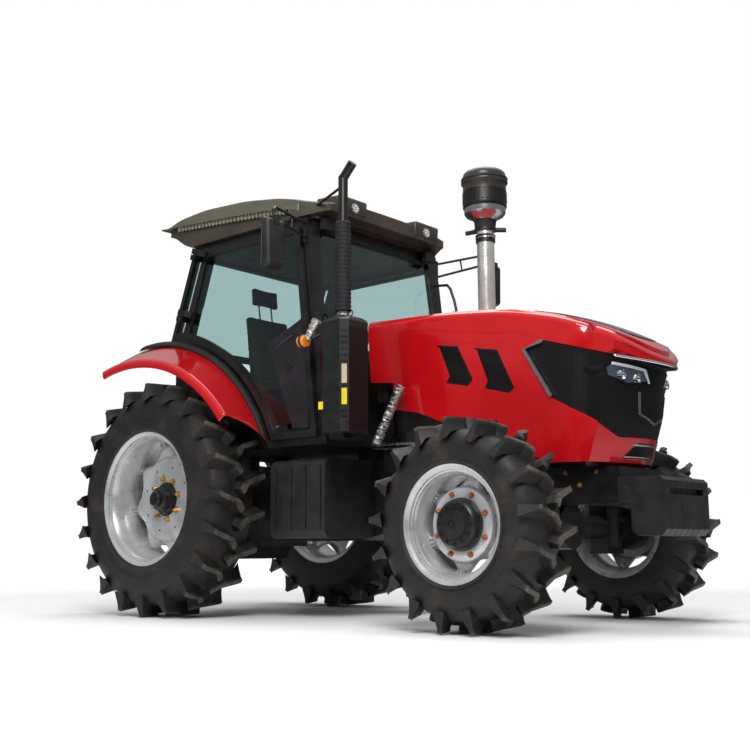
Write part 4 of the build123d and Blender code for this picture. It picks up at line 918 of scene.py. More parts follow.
# %% Outlines on the hood's side
mask_edge = ((2.913, 1.756), (3.057, 1.800), (3.54, 1.655), (3.85, 1.592), (3.85, 1.160), (3.48, 1.160),
             (3.40, 1.262), (3.109, 1.427))
grille_edge = ((3.469, 1.034), (3.53, 1.130), (3.85, 1.130), (3.85, 1.034))
under_edge = ((3.9, 0.985), (3.39, 1.013), (3.08, 1.020), (2.0, 1.430), (1.775, 1.470), (1.805, 1.656),
              (1.50, 1.690), (1.50, 0.8), (3.9, 0.8))
vent_edges = (
    ((2.198, 1.875), (2.389, 1.843), (2.503, 1.607), (2.460, 1.565), (2.273, 1.604), (2.308, 1.647),
     (2.233, 1.851)),
    ((2.517, 1.815), (2.711, 1.779), (2.833, 1.515), (2.788, 1.486), (2.599, 1.535), (2.623, 1.582),
     (2.549, 1.795)),
)
top_seam = ((1.50, 2.052), (1.583, 2.046), (1.939, 2.011), (2.245, 1.967), (2.534, 1.918), (2.727, 1.880),
            (2.86, 1.876), (3.043, 1.809))
panel_edge = ((1.50, 1.985), (1.583, 1.975), (1.938, 1.927), (2.198, 1.890), (2.744, 1.812), (2.837, 1.627),
              (2.881, 1.484), (2.832, 1.441), (2.385, 1.553), (1.937, 1.647), (1.50, 1.728))

# %% Hood shell
rear_end, rear_open, seam_depth, seam_width = 1.583, 1.40, 0.004, 0.006
hood_bm = hood_form(0.0, rear_end, 0.96, 0.045)
hood_bm = carve(hood_bm, hood_form(0.012, rear_open, 0.80, 0.036))
for shape in (mask_edge, grille_edge, under_edge):
    hood_bm = carve(hood_bm, side_prism(shape))
for way in (1, -1):
    near, far = sorted((way * (hood_half - seam_depth), way * (hood_half + 0.1)))
    hood_bm = carve(hood_bm, side_prism(panel_edge, near, far))
    hood_bm = carve(hood_bm, side_prism(ribbon(top_seam, seam_width), near, far))
    for shape in vent_edges:
        near, far = sorted((way * (hood_half - 0.05), way * (hood_half + 0.1)))
        hood_bm = carve(hood_bm, side_prism(shape, near, far))
piece("hood_shell", hood_bm, "hood", red_paint, sharp=28, replaces=("hood",), slot="red_paint")

# %% [markdown]
# ## Mask, grille and lamps
# Mask, grille, trim and lamps all lie in the nose's curved skin. Flat plates would stand off
# it, so each is cut from a thin layer of the hood's own form: the layer between two insets,
# crossed with a prism of the piece's outline, drawn from the side or from the front.

# %% Nose skins
def front_prism(points, low=3.0, high=3.9):
    """A front-view outline (left, up) extruded along the machine."""
    bm = bmesh.new()
    ring = bmesh.ops.create_circle(bm, cap_ends=True, segments=len(points), radius=1.0)["verts"]
    for v, (y, z) in zip(ring, points):
        v.co = (ahead(low), y, z)
    bmesh.ops.extrude_face_region(bm, geom=bm.faces[:])
    for v in bm.verts:
        if v not in ring:
            v.co.x = ahead(high)
    bmesh.ops.recalc_face_normals(bm, faces=bm.faces)
    return bm


skins = {}


def skin(outer, inner):
    """A fresh copy of the layer between two insets of the hood's form."""
    if (outer, inner) not in skins:
        layer = carve(hood_form(outer, rear_end, 0.96, max(0.045 - outer, 0.01)),
                      hood_form(inner, rear_open, 0.80, 0.03))
        mesh = bpy.data.meshes.new("skin")
        layer.to_mesh(mesh)
        layer.free()
        skins[outer, inner] = mesh
    bm = bmesh.new()
    bm.from_mesh(skins[outer, inner])
    return bm


def nose_plate(name, shape, outer, inner, look, mirrored=False, hole=None, slot=None, replaces=()):
    """A plate on the nose with a front-view outline, on one side or on both."""
    bm = bmesh.new()
    for way in (-1, 1) if mirrored else (-1,):
        plate = carve(skin(outer, inner), front_prism([(way * y, z) for y, z in shape]), "INTERSECT")
        if hole:
            plate = carve(plate, front_prism([(way * y, z) for y, z in hole]))
        join(bm, plate)
    piece(name, bm, "hood", look, sharp=30, replaces=replaces, slot=slot)


def nose_x(y, z):
    """Station of the nose's face at a point of its front view."""
    return along(nose_line, z) - bow(y)


# %% Mesh, chrome and lamp finishes
def perforated(name, dark, light, pitch, hole=0.32, rough=0.45):
    """Painted sheet with round holes in a grid, in Object coordinates."""
    look, n_, link_ = shader(name)
    skin_ = n_["Principled BSDF"]
    skin_.inputs["Specular IOR Level"].default_value = 0.22
    where = n_.new("ShaderNodeTexCoord")
    cells = n_.new("ShaderNodeTexVoronoi")
    cells.inputs["Scale"].default_value = 1 / pitch
    cells.inputs["Randomness"].default_value = 0.0
    link_(where.outputs["Object"], cells.inputs["Vector"])
    off_centre = cells.outputs["Distance"]
    link_(ramped(n_, link_, off_centre, hole, hole + 0.08, dark, light), skin_.inputs["Base Color"])
    link_(bumped(n_, link_, off_centre, 0.6, 0.002), skin_.inputs["Normal"])
    skin_.inputs["Roughness"].default_value = rough
    return look


mesh_black = perforated("mesh_black", (0.001, 0.001, 0.001), (0.007, 0.007, 0.008), 0.011)
trim_silver = finish("trim_silver", (0.42, 0.43, 0.45), (0.50, 0.51, 0.53), (0.18, 0.26), 12.0, metal=0.9)
gloss_black = finish("gloss_black", (0.004, 0.004, 0.005), (0.007, 0.007, 0.008), (0.06, 0.12), 6.0,
                     coat=0.6)
lamp_white = finish("lamp_white", (0.72, 0.74, 0.78), (0.82, 0.84, 0.88), (0.12, 0.2), 20.0)
lens_clear = finish("lens_clear", (0.10, 0.13, 0.20), (0.20, 0.25, 0.34), (0.03, 0.06), 8.0, metal=0.6,
                    coat=1.0)

# %% Mask, grille and side trim
mask_bm = carve(skin(0.006, 0.014), side_prism(mask_edge), "INTERSECT")
piece("nose_mesh", mask_bm, "hood", mesh_black, sharp=28, replaces=("nose_mask",), slot="black_plastic")
grille_bm = carve(skin(0.006, 0.014), side_prism(grille_edge), "INTERSECT")
piece("lower_mesh", grille_bm, "hood", mesh_black, sharp=28)
trim_line = ((3.065, 1.790), (2.925, 1.752), (3.118, 1.432))
for side, hand in sides:
    near, far = sorted((-hand * (hood_half - 0.020), -hand * (hood_half + 0.02)))
    trim = carve(skin(-0.003, 0.010), side_prism(ribbon(trim_line, 0.022), near, far), "INTERSECT")
    piece("mask_trim_" + side, trim, "hood", trim_silver, sharp=28)

# %% Headlights
pod = ((0.385, 1.590), (0.350, 1.622), (0.139, 1.582), (0.098, 1.496), (0.255, 1.478), (0.372, 1.530))
pod_inner = ((0.368, 1.584), (0.340, 1.606), (0.152, 1.568), (0.118, 1.506), (0.252, 1.490), (0.358, 1.536))
day_strip = ((0.345, 1.616), (0.139, 1.578), (0.096, 1.494), (0.108, 1.492), (0.152, 1.564), (0.345, 1.600))
nose_plate("headlight_frames", pod, 0.001, 0.008, gloss_black, True, pod_inner)
nose_plate("headlight_lenses", pod_inner, 0.004, 0.009, lens_clear, True, slot="lamp_glass",
           replaces=("headlights",))
nose_plate("day_lights", day_strip, 0.0, 0.006, lamp_white, True)

# %% Bright strip under the brow
strip_width, strip_height = 0.776, 0.014
bm = bmesh.new()
for v in bmesh.ops.create_grid(bm, x_segments=60, y_segments=2, size=0.5)["verts"]:
    y = v.co.x * strip_width
    z = 1.655 - 0.203 * (nose_x(y, 1.64) - 3.54) - 0.002 - strip_height * (v.co.y + 0.5)
    v.co = at(nose_x(y, z) + 0.003, y, z)
bmesh.ops.recalc_face_normals(bm, faces=bm.faces)
if sum(f.normal.x for f in bm.faces) < 0:
    bmesh.ops.reverse_faces(bm, faces=bm.faces)
walled(piece("brow_chrome", bm, "hood", chrome, sharp=40, keep=True), 0.010)

# %% Centre trim, grille frame and projectors
chevron = ((0.176, 1.438), (0.158, 1.300), (0.0, 1.240), (-0.158, 1.300), (-0.176, 1.438),
           (-0.162, 1.438), (-0.146, 1.308), (0.0, 1.254), (0.146, 1.308), (0.162, 1.438))
nose_plate("centre_trim", chevron, 0.0, 0.010, trim_silver)
frame_edge = ((0.36, 1.040), (0.22, 1.122), (-0.22, 1.122), (-0.36, 1.040))
frame_hole = ((0.330, 1.048), (0.212, 1.112), (-0.212, 1.112), (-0.330, 1.048))
nose_plate("grille_frame", frame_edge, 0.002, 0.012, trim_silver, hole=frame_hole)
bm = bmesh.new()
for way in (-1, 1):
    for y in (0.189, 0.285):
        z = 1.520 + 0.20 * (y - 0.189)
        front = ahead(nose_x(y, z)) - 0.002
        rod(bm, (front - 0.03, way * y, z), (front, way * y, z), 0.030, 32)
        ball(bm, (front - 0.014, way * y, z), 0.026, 24, 12)
piece("headlight_projectors", bm, "hood", chrome, sharp=40)

# %% [markdown]
# ## Seat pads
# A seat's pads are foam under tight cloth: full in the middle and drawn in along the seams. A
# bevelled block would look hard. So each pad's plain form gets an even skin of small faces,
# the skin is simulated as cloth under pressure, its swelling is held to a cap, and the seams
# are pressed in as soft grooves.

# %% Pads that swell
swell_frames = 20


def pad_form(points, half, rounding):
    """A pad's side view extruded across the seat, with every edge rounded."""
    bm = side_prism(points, -half, half)
    rounded(bm, bm.edges[:], rounding, 4)
    return bm


def stuffed(name, bm, cap, seams, replaces=()):
    """A pad: the form's skin swells by no more than the cap, and seams are pressed in."""
    fine = applied(bm, name + "_skin", ("REMESH", {"mode": "VOXEL", "voxel_size": 0.006}))
    mesh = bpy.data.meshes.new(name)
    fine.to_mesh(mesh)
    fine.free()
    pad = link_object(name, mesh)
    was = [v.co.copy() for v in mesh.vertices]
    swell = pad.modifiers.new("swell", "CLOTH")
    swell.settings.use_pressure = True
    swell.settings.uniform_pressure_force = 4.0
    swell.settings.effector_weights.gravity = 0.0
    scene = bpy.context.scene
    for step in range(1, swell_frames + 1):
        scene.frame_set(step)
    blown = pad.evaluated_get(bpy.context.evaluated_depsgraph_get()).to_mesh()
    moves = [v.co - start for v, start in zip(blown.vertices, was)]
    pad.modifiers.remove(swell)
    scene.frame_set(1)
    for v, start, move in zip(mesh.vertices, was, moves):
        v.co = start + move * min(1.0, cap / max(move.length, 1e-9))
    print(name, "swelled by up to", round(1000 * min(cap, max(m.length for m in moves)), 1), "mm")
    normals = [v.normal.copy() for v in mesh.vertices]
    for point, across, depth, width in seams:
        for v, normal in zip(mesh.vertices, normals):
            off = (v.co - point).dot(across)
            v.co -= normal * depth * math.exp(-(off / width) ** 2)
    mesh.shade_smooth()
    mesh.materials.append(seat_cloth)
    soft = pad.modifiers.new("surface", "SUBSURF")
    soft.levels = soft.render_levels = 1
    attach(pad, "chassis")
    if replaces:
        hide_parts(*replaces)


# %% Seat, back and headrest
cushion_side = ((0.20, 1.76), (0.20, 1.845), (0.66, 1.865), (0.69, 1.84), (0.68, 1.756))
back_side = ((0.195, 1.80), (0.180, 1.90), (0.100, 2.425), (0.020, 2.425), (0.095, 1.80))
headrest_side = ((0.070, 2.535), (0.056, 2.685), (0.004, 2.685), (0.016, 2.535))
long_seams = [(Vector((0, y, 0)), Vector((0, 1, 0)), 0.006, 0.008) for y in (-0.145, 0.145)]
seat_seams = [(at(x, 0, 0), Vector((1, 0, 0)), 0.004, 0.007) for x in (0.34, 0.47, 0.60)]
back_seams = [(Vector((0, 0, z)), Vector((0, 0, 1)), 0.004, 0.007) for z in (1.98, 2.12, 2.26)]
stuffed("seat_pad", pad_form(cushion_side, 0.235, 0.022), 0.012, long_seams + seat_seams,
        replaces=("seat_cushion",))
stuffed("seat_back", pad_form(back_side, 0.222, 0.024), 0.012, long_seams + back_seams)
stuffed("seat_headrest", pad_form(headrest_side, 0.138, 0.018), 0.008, [])
bm = bmesh.new()
for y in (-0.07, 0.07):
    rod(bm, at(0.06, y, 2.40), at(0.035, y, 2.56), 0.007, 12)
piece("headrest_posts", bm, "chassis", steel)

# %% [markdown]
# ## Roof
# The roof is a thin glazed shell, bowed from front to rear, over a dark body. A visor ahead of
# it carries two lamp pods, and a gutter of small scallops hangs under its side edges. The
# three large pieces are lattices whose points take the roof's own plan, top line and foot
# line at their station, which keeps one bow through all of them.

# %% Roof finishes and lines
roof_glaze = finish("roof_glaze", (0.092, 0.088, 0.060), (0.118, 0.113, 0.080), (0.12, 0.20), 3.0,
                    grain=(900, 0.03, 0.001), coat=0.8)
roof_brown = finish("roof_brown", (0.040, 0.032, 0.024), (0.060, 0.050, 0.038), (0.34, 0.42), 3.0,
                    grain=(900, 0.05, 0.001), coat=0.15)
gutter_grey = finish("gutter_grey", (0.20, 0.20, 0.15), (0.26, 0.26, 0.20), (0.4, 0.55), 8.0)
roof_top = ((-0.50, 3.105), (-0.38, 3.138), (-0.06, 3.188), (0.26, 3.206), (0.72, 3.176),
            (1.12, 3.112), (1.33, 3.072), (1.46, 3.050), (1.70, 3.02))
shell_foot = ((-0.40, 3.118), (-0.25, 3.098), (0.13, 3.066), (0.54, 3.036), (0.93, 3.000), (1.39, 2.935))


def eased(line, x, reach=0.07):
    """A broken line with its corners eased."""
    return (along(line, x - reach) + 2 * along(line, x) + along(line, x + reach)) / 4


def roof_half(x):
    """Half of the roof's width: it narrows at the tail and towards the visor."""
    return 0.856 - 0.04 * smoothstep(0.0, -0.38, x) - 0.21 * smoothstep(1.05, 1.60, x)


print("roof: widest", round(2 * roof_half(0.5), 3), "and at the visor", round(2 * roof_half(1.452), 3))


# %% Roof shell, body and visor
def roof_piece(name, look, rear, front, half, top, foot, crown, rounding, cuts=(30, 14, 3), **more):
    """A lattice between two stations; half, top and foot give its size at a station."""
    bm = lattice(cuts)
    corners = [e for e in bm.edges if all(v.co.z > 0.999 and abs(v.co.y) > 0.499 for v in e.verts)
               or all(v.co.z > 0.999 and v.co.x in (0.0, 1.0) for v in e.verts)
               or all(abs(v.co.y) > 0.499 and v.co.x in (0.0, 1.0) for v in e.verts)]
    for v in bm.verts:
        u, side, w = v.co
        across = 2 * side
        x = rear + u * (front - rear)
        high = top(x) - crown * abs(across) ** 3
        low = foot(x)
        v.co = (ahead(x), across * half(x), low + w * (max(high, low + 0.012) - low))
    rounded(bm, corners, rounding, 4)
    piece(name, bm, "chassis", look, sharp=40, **more)


roof_piece("roof_shell", roof_glaze, rear=-0.352, front=1.24, half=roof_half,
           top=lambda x: eased(roof_top, x), foot=lambda x: along(shell_foot, x),
           crown=0.052, rounding=0.008, replaces=("cab_roof",), slot="roof_plastic")
roof_piece("roof_body", roof_brown, rear=-0.28, front=1.34, half=lambda x: roof_half(x) - 0.050,
           top=lambda x: along(shell_foot, x) + 0.03,
           foot=lambda x: 2.902 + 0.15 * smoothstep(0.05, -0.30, x), crown=0.0, rounding=0.006)
roof_piece("roof_visor", roof_brown, rear=1.16, front=1.452, half=lambda x: roof_half(x) - 0.004,
           top=lambda x: eased(roof_top, x) - 0.006,
           foot=lambda x: 2.904 + 0.035 * smoothstep(1.2, 1.45, x),
           crown=0.052, rounding=0.010, cuts=(14, 24, 4))

# %% Lamp pods and gutter
pod_y, pod_half = 0.44, 0.150
bm = bmesh.new()
for way in (-1, 1):
    block = brick(bm, at(1.22, way * pod_y - pod_half, 2.950), at(1.474, way * pod_y + pod_half, 3.098))
    for v in block:
        if v.co.z > 3.0:
            v.co.z -= 0.018 * (v.co.x > ahead(1.4))
        else:
            v.co.x -= 0.012
rounded(bm, bm.edges[:], 0.018, 3)
piece("roof_pods", bm, "chassis", roof_brown, sharp=40)

scallops, scallop_pitch = 30, 0.042
bm = bmesh.new()
for way in (-1, 1):
    for number in range(scallops):
        x = -0.10 + number * scallop_pitch
        ball(bm, at(x, way * 0.826, along(shell_foot, x) - 0.012), 0.019, 10, 6, (1.06, 0.5, 1.3))
piece("roof_gutter", bm, "chassis", gutter_grey, sharp=60)

# %% Roof lamps
lamp_z, diodes = 3.003, 8
bowls, lights = bmesh.new(), bmesh.new()
for y in (-0.427, 0.427):
    rod(bowls, at(1.44, y, lamp_z), at(1.476, y, lamp_z), 0.040, 28)
    for number in range(diodes + 1):
        turn = math.tau * number / diodes
        off = Vector((0, math.cos(turn), math.sin(turn))) * (0.022 if number < diodes else 0.0)
        ball(lights, at(1.478, y, lamp_z) + off, 0.008, 12, 6, (0.6, 1, 1))
piece("roof_lamp_bowls", bowls, "chassis", trim_silver, bevel=0.003)
piece("roof_lamp_diodes", lights, "chassis", lamp_white)

# %% [markdown]
# ## Fenders
# A rear fender is a pressed sheet over the wheel. Its inner edge follows the round arch that
# is cut into the cab's side, and its outer lip lies further ahead and lower on an arch of
# the same radius. A flat grid is laid on the surface between the two arches, its profile
# across rolls over at the lip, and Solidify gives it a wall. The rubber seal along the cab
# uses the same arches.

# %% Fender arches
arch_x, arch_z, arch_r = -0.420, 0.710, 1.445
lead, drop = 0.156, 0.178
inner_y, lip_y = 0.764, 1.150
front_foot = arch_x + math.sqrt(arch_r ** 2 - (1.275 - arch_z) ** 2)
front_tip = arch_x + lead + math.sqrt(arch_r ** 2 - (1.440 - arch_z + drop) ** 2)
print("fender: foot", round(front_foot, 3), "and tip", round(front_tip, 3), "ahead of the rear axle")


def arch_point(u, s, rise=0.0):
    """A point of the fender: u runs from front to rear, s from the cab's side to the lip."""
    cx, cz = arch_x + s * lead, arch_z - s * drop
    first = math.acos((front_foot + s * (front_tip - front_foot) - cx) / arch_r)
    last = math.acos((-0.55 - s * 0.09 - cx) / arch_r)
    turn = first + u * (last - first)
    radius = arch_r + rise
    return at(cx + radius * math.cos(turn), 0, cz + radius * math.sin(turn)), inner_y + s * (lip_y - inner_y)


def arch_sheet(name, profile, look, thickness, replaces=(), slot=None):
    """A sheet along both arches; the profile gives (s, rise, further out) across it."""
    bm = bmesh.new()
    rows = len(profile) - 1
    for way in (-1, 1):
        for v in bmesh.ops.create_grid(bm, x_segments=72, y_segments=rows, size=0.5)["verts"]:
            u = min(max(v.co.x + 0.5, 0.0), 1.0)
            s, rise, out = profile[round((v.co.y + 0.5) * rows)]
            spot, y = arch_point(u, min(s, 1.0), rise)
            v.co = (spot.x, way * (y + out), spot.z)
    bmesh.ops.recalc_face_normals(bm, faces=bm.faces)
    if sum(f.normal.z < -0.2 for f in bm.faces) > len(bm.faces) / 2:
        bmesh.ops.reverse_faces(bm, faces=bm.faces)
    walled(piece(name, bm, "chassis", look, sharp=40, replaces=replaces, slot=slot, keep=True), thickness)


# %% Fender shells and seals
sheet_rows, lip_radius = 11, 0.034
across_sheet = [(row / sheet_rows * 0.99, 0.0, -lip_radius * (row / sheet_rows))
                for row in range(sheet_rows + 1)]
roll = [(1.0, lip_radius * (math.cos(t) - 1), lip_radius * (math.sin(t) - 1))
        for t in (step * math.pi / 16 for step in range(9))]
turned_under = [(1.0, -0.060, 0.0), (1.0, -0.072, -0.004), (1.0, -0.076, -0.016)]
arch_sheet("fender_shells", across_sheet + roll + turned_under, red_paint, 0.007,
           replaces=("fenders",), slot="red_paint")
seal_profile = [(0.0, 0.008, 0.0), (0.0, 0.020, 0.004), (0.03, 0.028, 0.01), (0.12, 0.024, 0.012),
                (0.17, 0.004, 0.014)]
arch_sheet("fender_seals", seal_profile, rubber, 0.006)

# %% [markdown]
# ## Door panels and handles
# A dark panel covers the front of each door's glass: tall at the front post, with a rear
# edge that slants forward to its foot. It is a prism of its side view. The handle is a round
# plate with a short lever. Both ride on the door, so that they swing with it.

# %% Door panels and handles
panel_plum = finish("panel_plum", (0.010, 0.008, 0.012), (0.018, 0.014, 0.020), (0.16, 0.28), 5.0, coat=0.4)
panel_side = ((1.330, 2.185), (1.257, 2.129), (0.924, 1.995), (0.935, 1.93), (0.985, 1.845),
              (1.193, 1.345), (1.352, 1.345))
panel_thickness = 0.012
for side, hand in sides:
    y = -hand * 0.7975
    near, far = sorted((y, y + hand * panel_thickness))
    piece("door_panel_" + side, side_prism(panel_side, near, far), "door_" + side, panel_plum, bevel=0.004)
    bm = bmesh.new()
    inside, outside = y + hand * 0.004, y - hand * 0.006
    rod(bm, at(1.16, inside, 1.80), at(1.16, outside, 1.80), 0.034, 28)
    rod(bm, at(1.03, inside, 1.955), at(1.20, outside, 2.03), 0.010, 14)
    piece("door_handle_" + side, bm, "door_" + side, gloss_black, bevel=0.002)

# %% [markdown]
# ## Muffler guard
# The muffler stands upright in a guard of bent plate: a box with narrow corners, plain and
# bolted at the side, louvred on the corner, perforated at the front, with a domed cap. Rings
# of eight points are bridged from the foot to the top, so that guard and cap share one
# outline, and small blocks cut the louvres.

# %% Guard finishes and outline
guard_holes = perforated("guard_holes", (0.001, 0.001, 0.001), (0.012, 0.012, 0.013), 0.017, hole=0.24)
guard = finish("guard_black", (0.008, 0.008, 0.009), (0.014, 0.013, 0.014), (0.30, 0.42), 14.0,
               grain=(500, 0.15, 0.001))
muffler_x, muffler_y = 1.690, -0.800
guard_x, guard_y = 1.722, -0.8145
half_x, half_y, cut = 0.124, 0.1415, 0.045
guard_front, guard_side = guard_x + half_x, guard_y - half_y
print("guard:", round(2 * half_x, 3), "by", round(2 * half_y, 3))


def raised(bm, steps):
    """A box with cut corners that rises through steps of (drawn in, cut, z), closed at both ends."""
    rings = []
    for inward, corner, z in steps:
        x, y = half_x - inward, half_y - inward
        spots = ((x, y - corner), (x - corner, y), (corner - x, y), (-x, y - corner),
                 (-x, corner - y), (corner - x, -y), (x - corner, -y), (x, corner - y))
        ring = bmesh.ops.create_circle(bm, segments=8, radius=1.0)["verts"]
        for v, (dx, dy) in zip(ring, spots):
            v.co = at(guard_x + dx, guard_y + dy, z)
        rings.append(list({e for v in ring for e in v.link_edges}))
    for low, high in zip(rings, rings[1:]):
        bmesh.ops.bridge_loops(bm, edges=low + high)
    bmesh.ops.holes_fill(bm, edges=rings[0] + rings[-1], sides=8)
    bmesh.ops.recalc_face_normals(bm, faces=bm.faces)


# %% Guard, its mesh and its cap
louvres, louvre_pitch = 15, 0.042
corner_turn = Matrix.Rotation(math.radians(-45), 4, "Z")
bm = bmesh.new()
raised(bm, [(0.0, cut, 1.268), (0.0, cut, 2.016)])
for number in range(louvres):
    spot = at(guard_front - cut / 2, guard_side + cut / 2, 1.36 + number * louvre_pitch)
    louvre = bmesh.new()
    bmesh.ops.create_cube(louvre, size=1.0, matrix=Matrix.Translation(spot) @ corner_turn
                          @ Matrix.Diagonal((0.012, 0.044, 0.018, 1)))
    bm = carve(bm, louvre)
piece("muffler_guard", bm, "chassis", guard, sharp=20, replaces=("muffler",), slot="black_paint",
      bevel=0.0015)
bm = bmesh.new()
brick(bm, at(guard_front, guard_side + cut + 0.004, 1.30),
      at(guard_front + 0.0015, guard_y + half_y - cut - 0.004, 1.99))
piece("muffler_mesh", bm, "chassis", guard_holes)
bm = bmesh.new()
raised(bm, [(0.004, cut, 2.014), (-0.001, cut, 2.018), (-0.001, cut, 2.032), (0.008, cut, 2.050),
            (0.030, cut * 0.9, 2.066), (0.060, cut * 0.7, 2.077), (0.09, cut * 0.45, 2.081)])
piece("muffler_cap", bm, "chassis", guard, sharp=26)

# %% Guard bolts, bracket and lifting eyes
bm = bmesh.new()
for z in (1.33, 1.56, 1.79, 1.97):
    for x in (-0.110, 0.066):
        rod(bm, at(guard_x + x, guard_side + 0.002, z), at(guard_x + x, guard_side - 0.004, z), 0.009, 6)
brick(bm, at(1.62, -0.86, 1.235), at(1.75, -0.262, 1.268))
brick(bm, at(1.62, -0.292, 1.0), at(1.75, -0.262, 1.268))
piece("muffler_bolts", bm, "chassis", black_paint)
# The small circle lies square to this axis, so the eyes come out as flat rings.
bm = bmesh.new()
for x, y in ((-0.115, -0.06), (0.112, -0.05)):
    torus(bm, at(muffler_x + x, muffler_y + y, 2.088), 0.022, 0.005, 8, 20, (0, 1, 0))
piece("muffler_eyes", bm, "chassis", black_paint, sharp=60)

# %% [markdown]
# ## Exhaust pipe
# Above the guard the pipe is wound with dull wrap, held by a bright clamp at its foot, and
# a plain bent tail looks out of the top. Round parts like these are a profile of radius and
# height, spun about an upright axis; the wrap's uneven turns are a ripple in the profile.

# %% Exhaust pipe
wrap = finish("pipe_wrap", (0.006, 0.006, 0.007), (0.016, 0.015, 0.017), (0.65, 0.85), 30.0,
              grain=(140, 0.5, 0.002))


def turned(bm, x, y, profile, steps=40):
    """Spin (radius, height) points about an upright axis."""
    verts = [bm.verts.new(at(x + max(r, 1e-4), y, z)) for r, z in profile]
    edges = [bm.edges.new(pair) for pair in zip(verts, verts[1:])]
    bmesh.ops.spin(bm, geom=verts + edges, cent=at(x, y, 0), axis=(0, 0, 1), angle=math.tau,
                   steps=steps, use_merge=True)
    bmesh.ops.remove_doubles(bm, verts=bm.verts, dist=1e-5)


ripple = [(0.056 + 0.0022 * math.sin(step * 1.7), 2.125 + step * 0.008) for step in range(80)]
bm = bmesh.new()
turned(bm, muffler_x, muffler_y, [(0, 2.12), (0.052, 2.12)] + ripple + [(0.050, 2.77), (0, 2.77)])
piece("pipe_sleeve", bm, "chassis", wrap, sharp=70, replaces=("exhaust_pipe",), slot="black_paint")
bm = bmesh.new()
turned(bm, muffler_x, muffler_y, [(0, 2.76), (0.034, 2.76), (0.034, 3.10), (0, 3.10)], 28)
rod(bm, at(muffler_x - 0.004, muffler_y, 3.085), at(muffler_x + 0.092, muffler_y, 3.185), 0.033, 28)
ball(bm, at(muffler_x, muffler_y, 3.092), 0.0345, 28, 14)
rod(bm, at(1.36, -0.72, 2.985), at(1.668, -0.800, 3.03), 0.010, 12)
piece("pipe_tail", bm, "chassis", black_paint, sharp=40)
bm = bmesh.new()
turned(bm, muffler_x, muffler_y, [(0, 2.078), (0.046, 2.078), (0.049, 2.084), (0.049, 2.096),
                                  (0.042, 2.100), (0.042, 2.122), (0, 2.122)])
rod(bm, at(muffler_x + 0.03, muffler_y - 0.052, 2.09), at(muffler_x + 0.06, muffler_y - 0.03, 2.09),
    0.006, 8)
piece("pipe_clamp", bm, "chassis", steel, sharp=30)

# %% [markdown]
# ## Intake stack
# Air comes in through a canister on a bright pipe that stands on the hood, and rides with
# it. The canister is a lid with a rolled rim, a dark band of thirty ribs, a bright bowl and
# a rubber neck. Each is a spun profile, and one rib is repeated round the band.

# %% Stack and its collars
canister = finish("canister_black", (0.030, 0.027, 0.024), (0.045, 0.041, 0.034), (0.28, 0.38), 6.0,
                  grain=(700, 0.1, 0.001))
canister_dark = finish("canister_dark", (0.008, 0.008, 0.008), (0.013, 0.012, 0.012), (0.35, 0.45), 6.0)
stack_chrome = finish("stack_chrome", (0.86, 0.85, 0.80), (0.94, 0.93, 0.88), (0.16, 0.30), 12.0, metal=0.75)
stack_x, stack_radius = 2.345, 0.062
bm = bmesh.new()
turned(bm, stack_x, 0, [(0, 2.055), (stack_radius, 2.055), (stack_radius, 2.80), (0, 2.80)], 48)
piece("stack_pipe", bm, "hood", stack_chrome, sharp=30, replaces=("intake_stack",), slot="chrome_plate")
bm = bmesh.new()
turned(bm, stack_x, 0, [(0.060, 2.10), (0.077, 2.10), (0.077, 2.150), (0.066, 2.158), (0.060, 2.158)], 40)
for low, high, wide in ((2.66, 2.685, 0.070), (2.70, 2.715, 0.072), (2.745, 2.765, 0.080)):
    turned(bm, stack_x, 0, [(0.060, low), (wide, low), (wide, high), (0.060, high)], 40)
for turn in (0.6, 3.4):
    tip = Vector((math.cos(turn), math.sin(turn), 0))
    rod(bm, at(stack_x, 0, 2.755) + tip * 0.07, at(stack_x, 0, 2.752) + tip * 0.150, 0.017, 14)
piece("stack_collar", bm, "hood", canister_dark, sharp=30, bevel=0.002)
bm = bmesh.new()
turned(bm, stack_x, 0, [(0.060, 2.688), (0.071, 2.688), (0.071, 2.699), (0.060, 2.699)], 40)
rod(bm, at(stack_x + 0.066, -0.05, 2.693), at(stack_x + 0.085, -0.02, 2.693), 0.007, 8)
piece("stack_band", bm, "hood", steel, sharp=30)

# %% Canister
lid = [(0, 3.209), (0.05, 3.207), (0.10, 3.199), (0.135, 3.187), (0.152, 3.170), (0.157, 3.150),
       (0.158, 3.140), (0.168, 3.136), (0.170, 3.128), (0.164, 3.120), (0.160, 3.116), (0.168, 3.110),
       (0.169, 3.102), (0.160, 3.094), (0.156, 3.086), (0.156, 3.035), (0, 3.035)]
band = [(0, 3.040), (0.158, 3.040), (0.158, 3.030), (0.154, 3.026), (0.154, 2.950), (0.158, 2.946),
        (0.159, 2.925), (0.154, 2.912), (0, 2.912)]
bowl = [(0, 2.915), (0.151, 2.915), (0.148, 2.875), (0.135, 2.858), (0.095, 2.838), (0.084, 2.825),
        (0, 2.825)]
neck = [(0, 2.842), (0.086, 2.842), (0.079, 2.812), (0.076, 2.785), (0.076, 2.762), (0, 2.762)]
band_ribs = 30
bm = bmesh.new()
turned(bm, stack_x, 0, lid, 72)
piece("canister", bm, "hood", canister, sharp=34, replaces=("precleaner",), slot="chrome_plate")
bm = bmesh.new()
turned(bm, stack_x, 0, band, 72)
rib = brick(bm, at(stack_x + 0.148, -0.0055, 2.95), at(stack_x + 0.161, 0.0055, 3.03))
rib_edges = list({e for v in rib for e in v.link_edges})
rib_faces = list({f for v in rib for f in v.link_faces})
around(bm, rib + rib_edges + rib_faces, at(stack_x, 0, 0), band_ribs, axis=(0, 0, 1))
piece("canister_band", bm, "hood", canister_dark, sharp=34)
bm = bmesh.new()
turned(bm, stack_x, 0, bowl, 64)
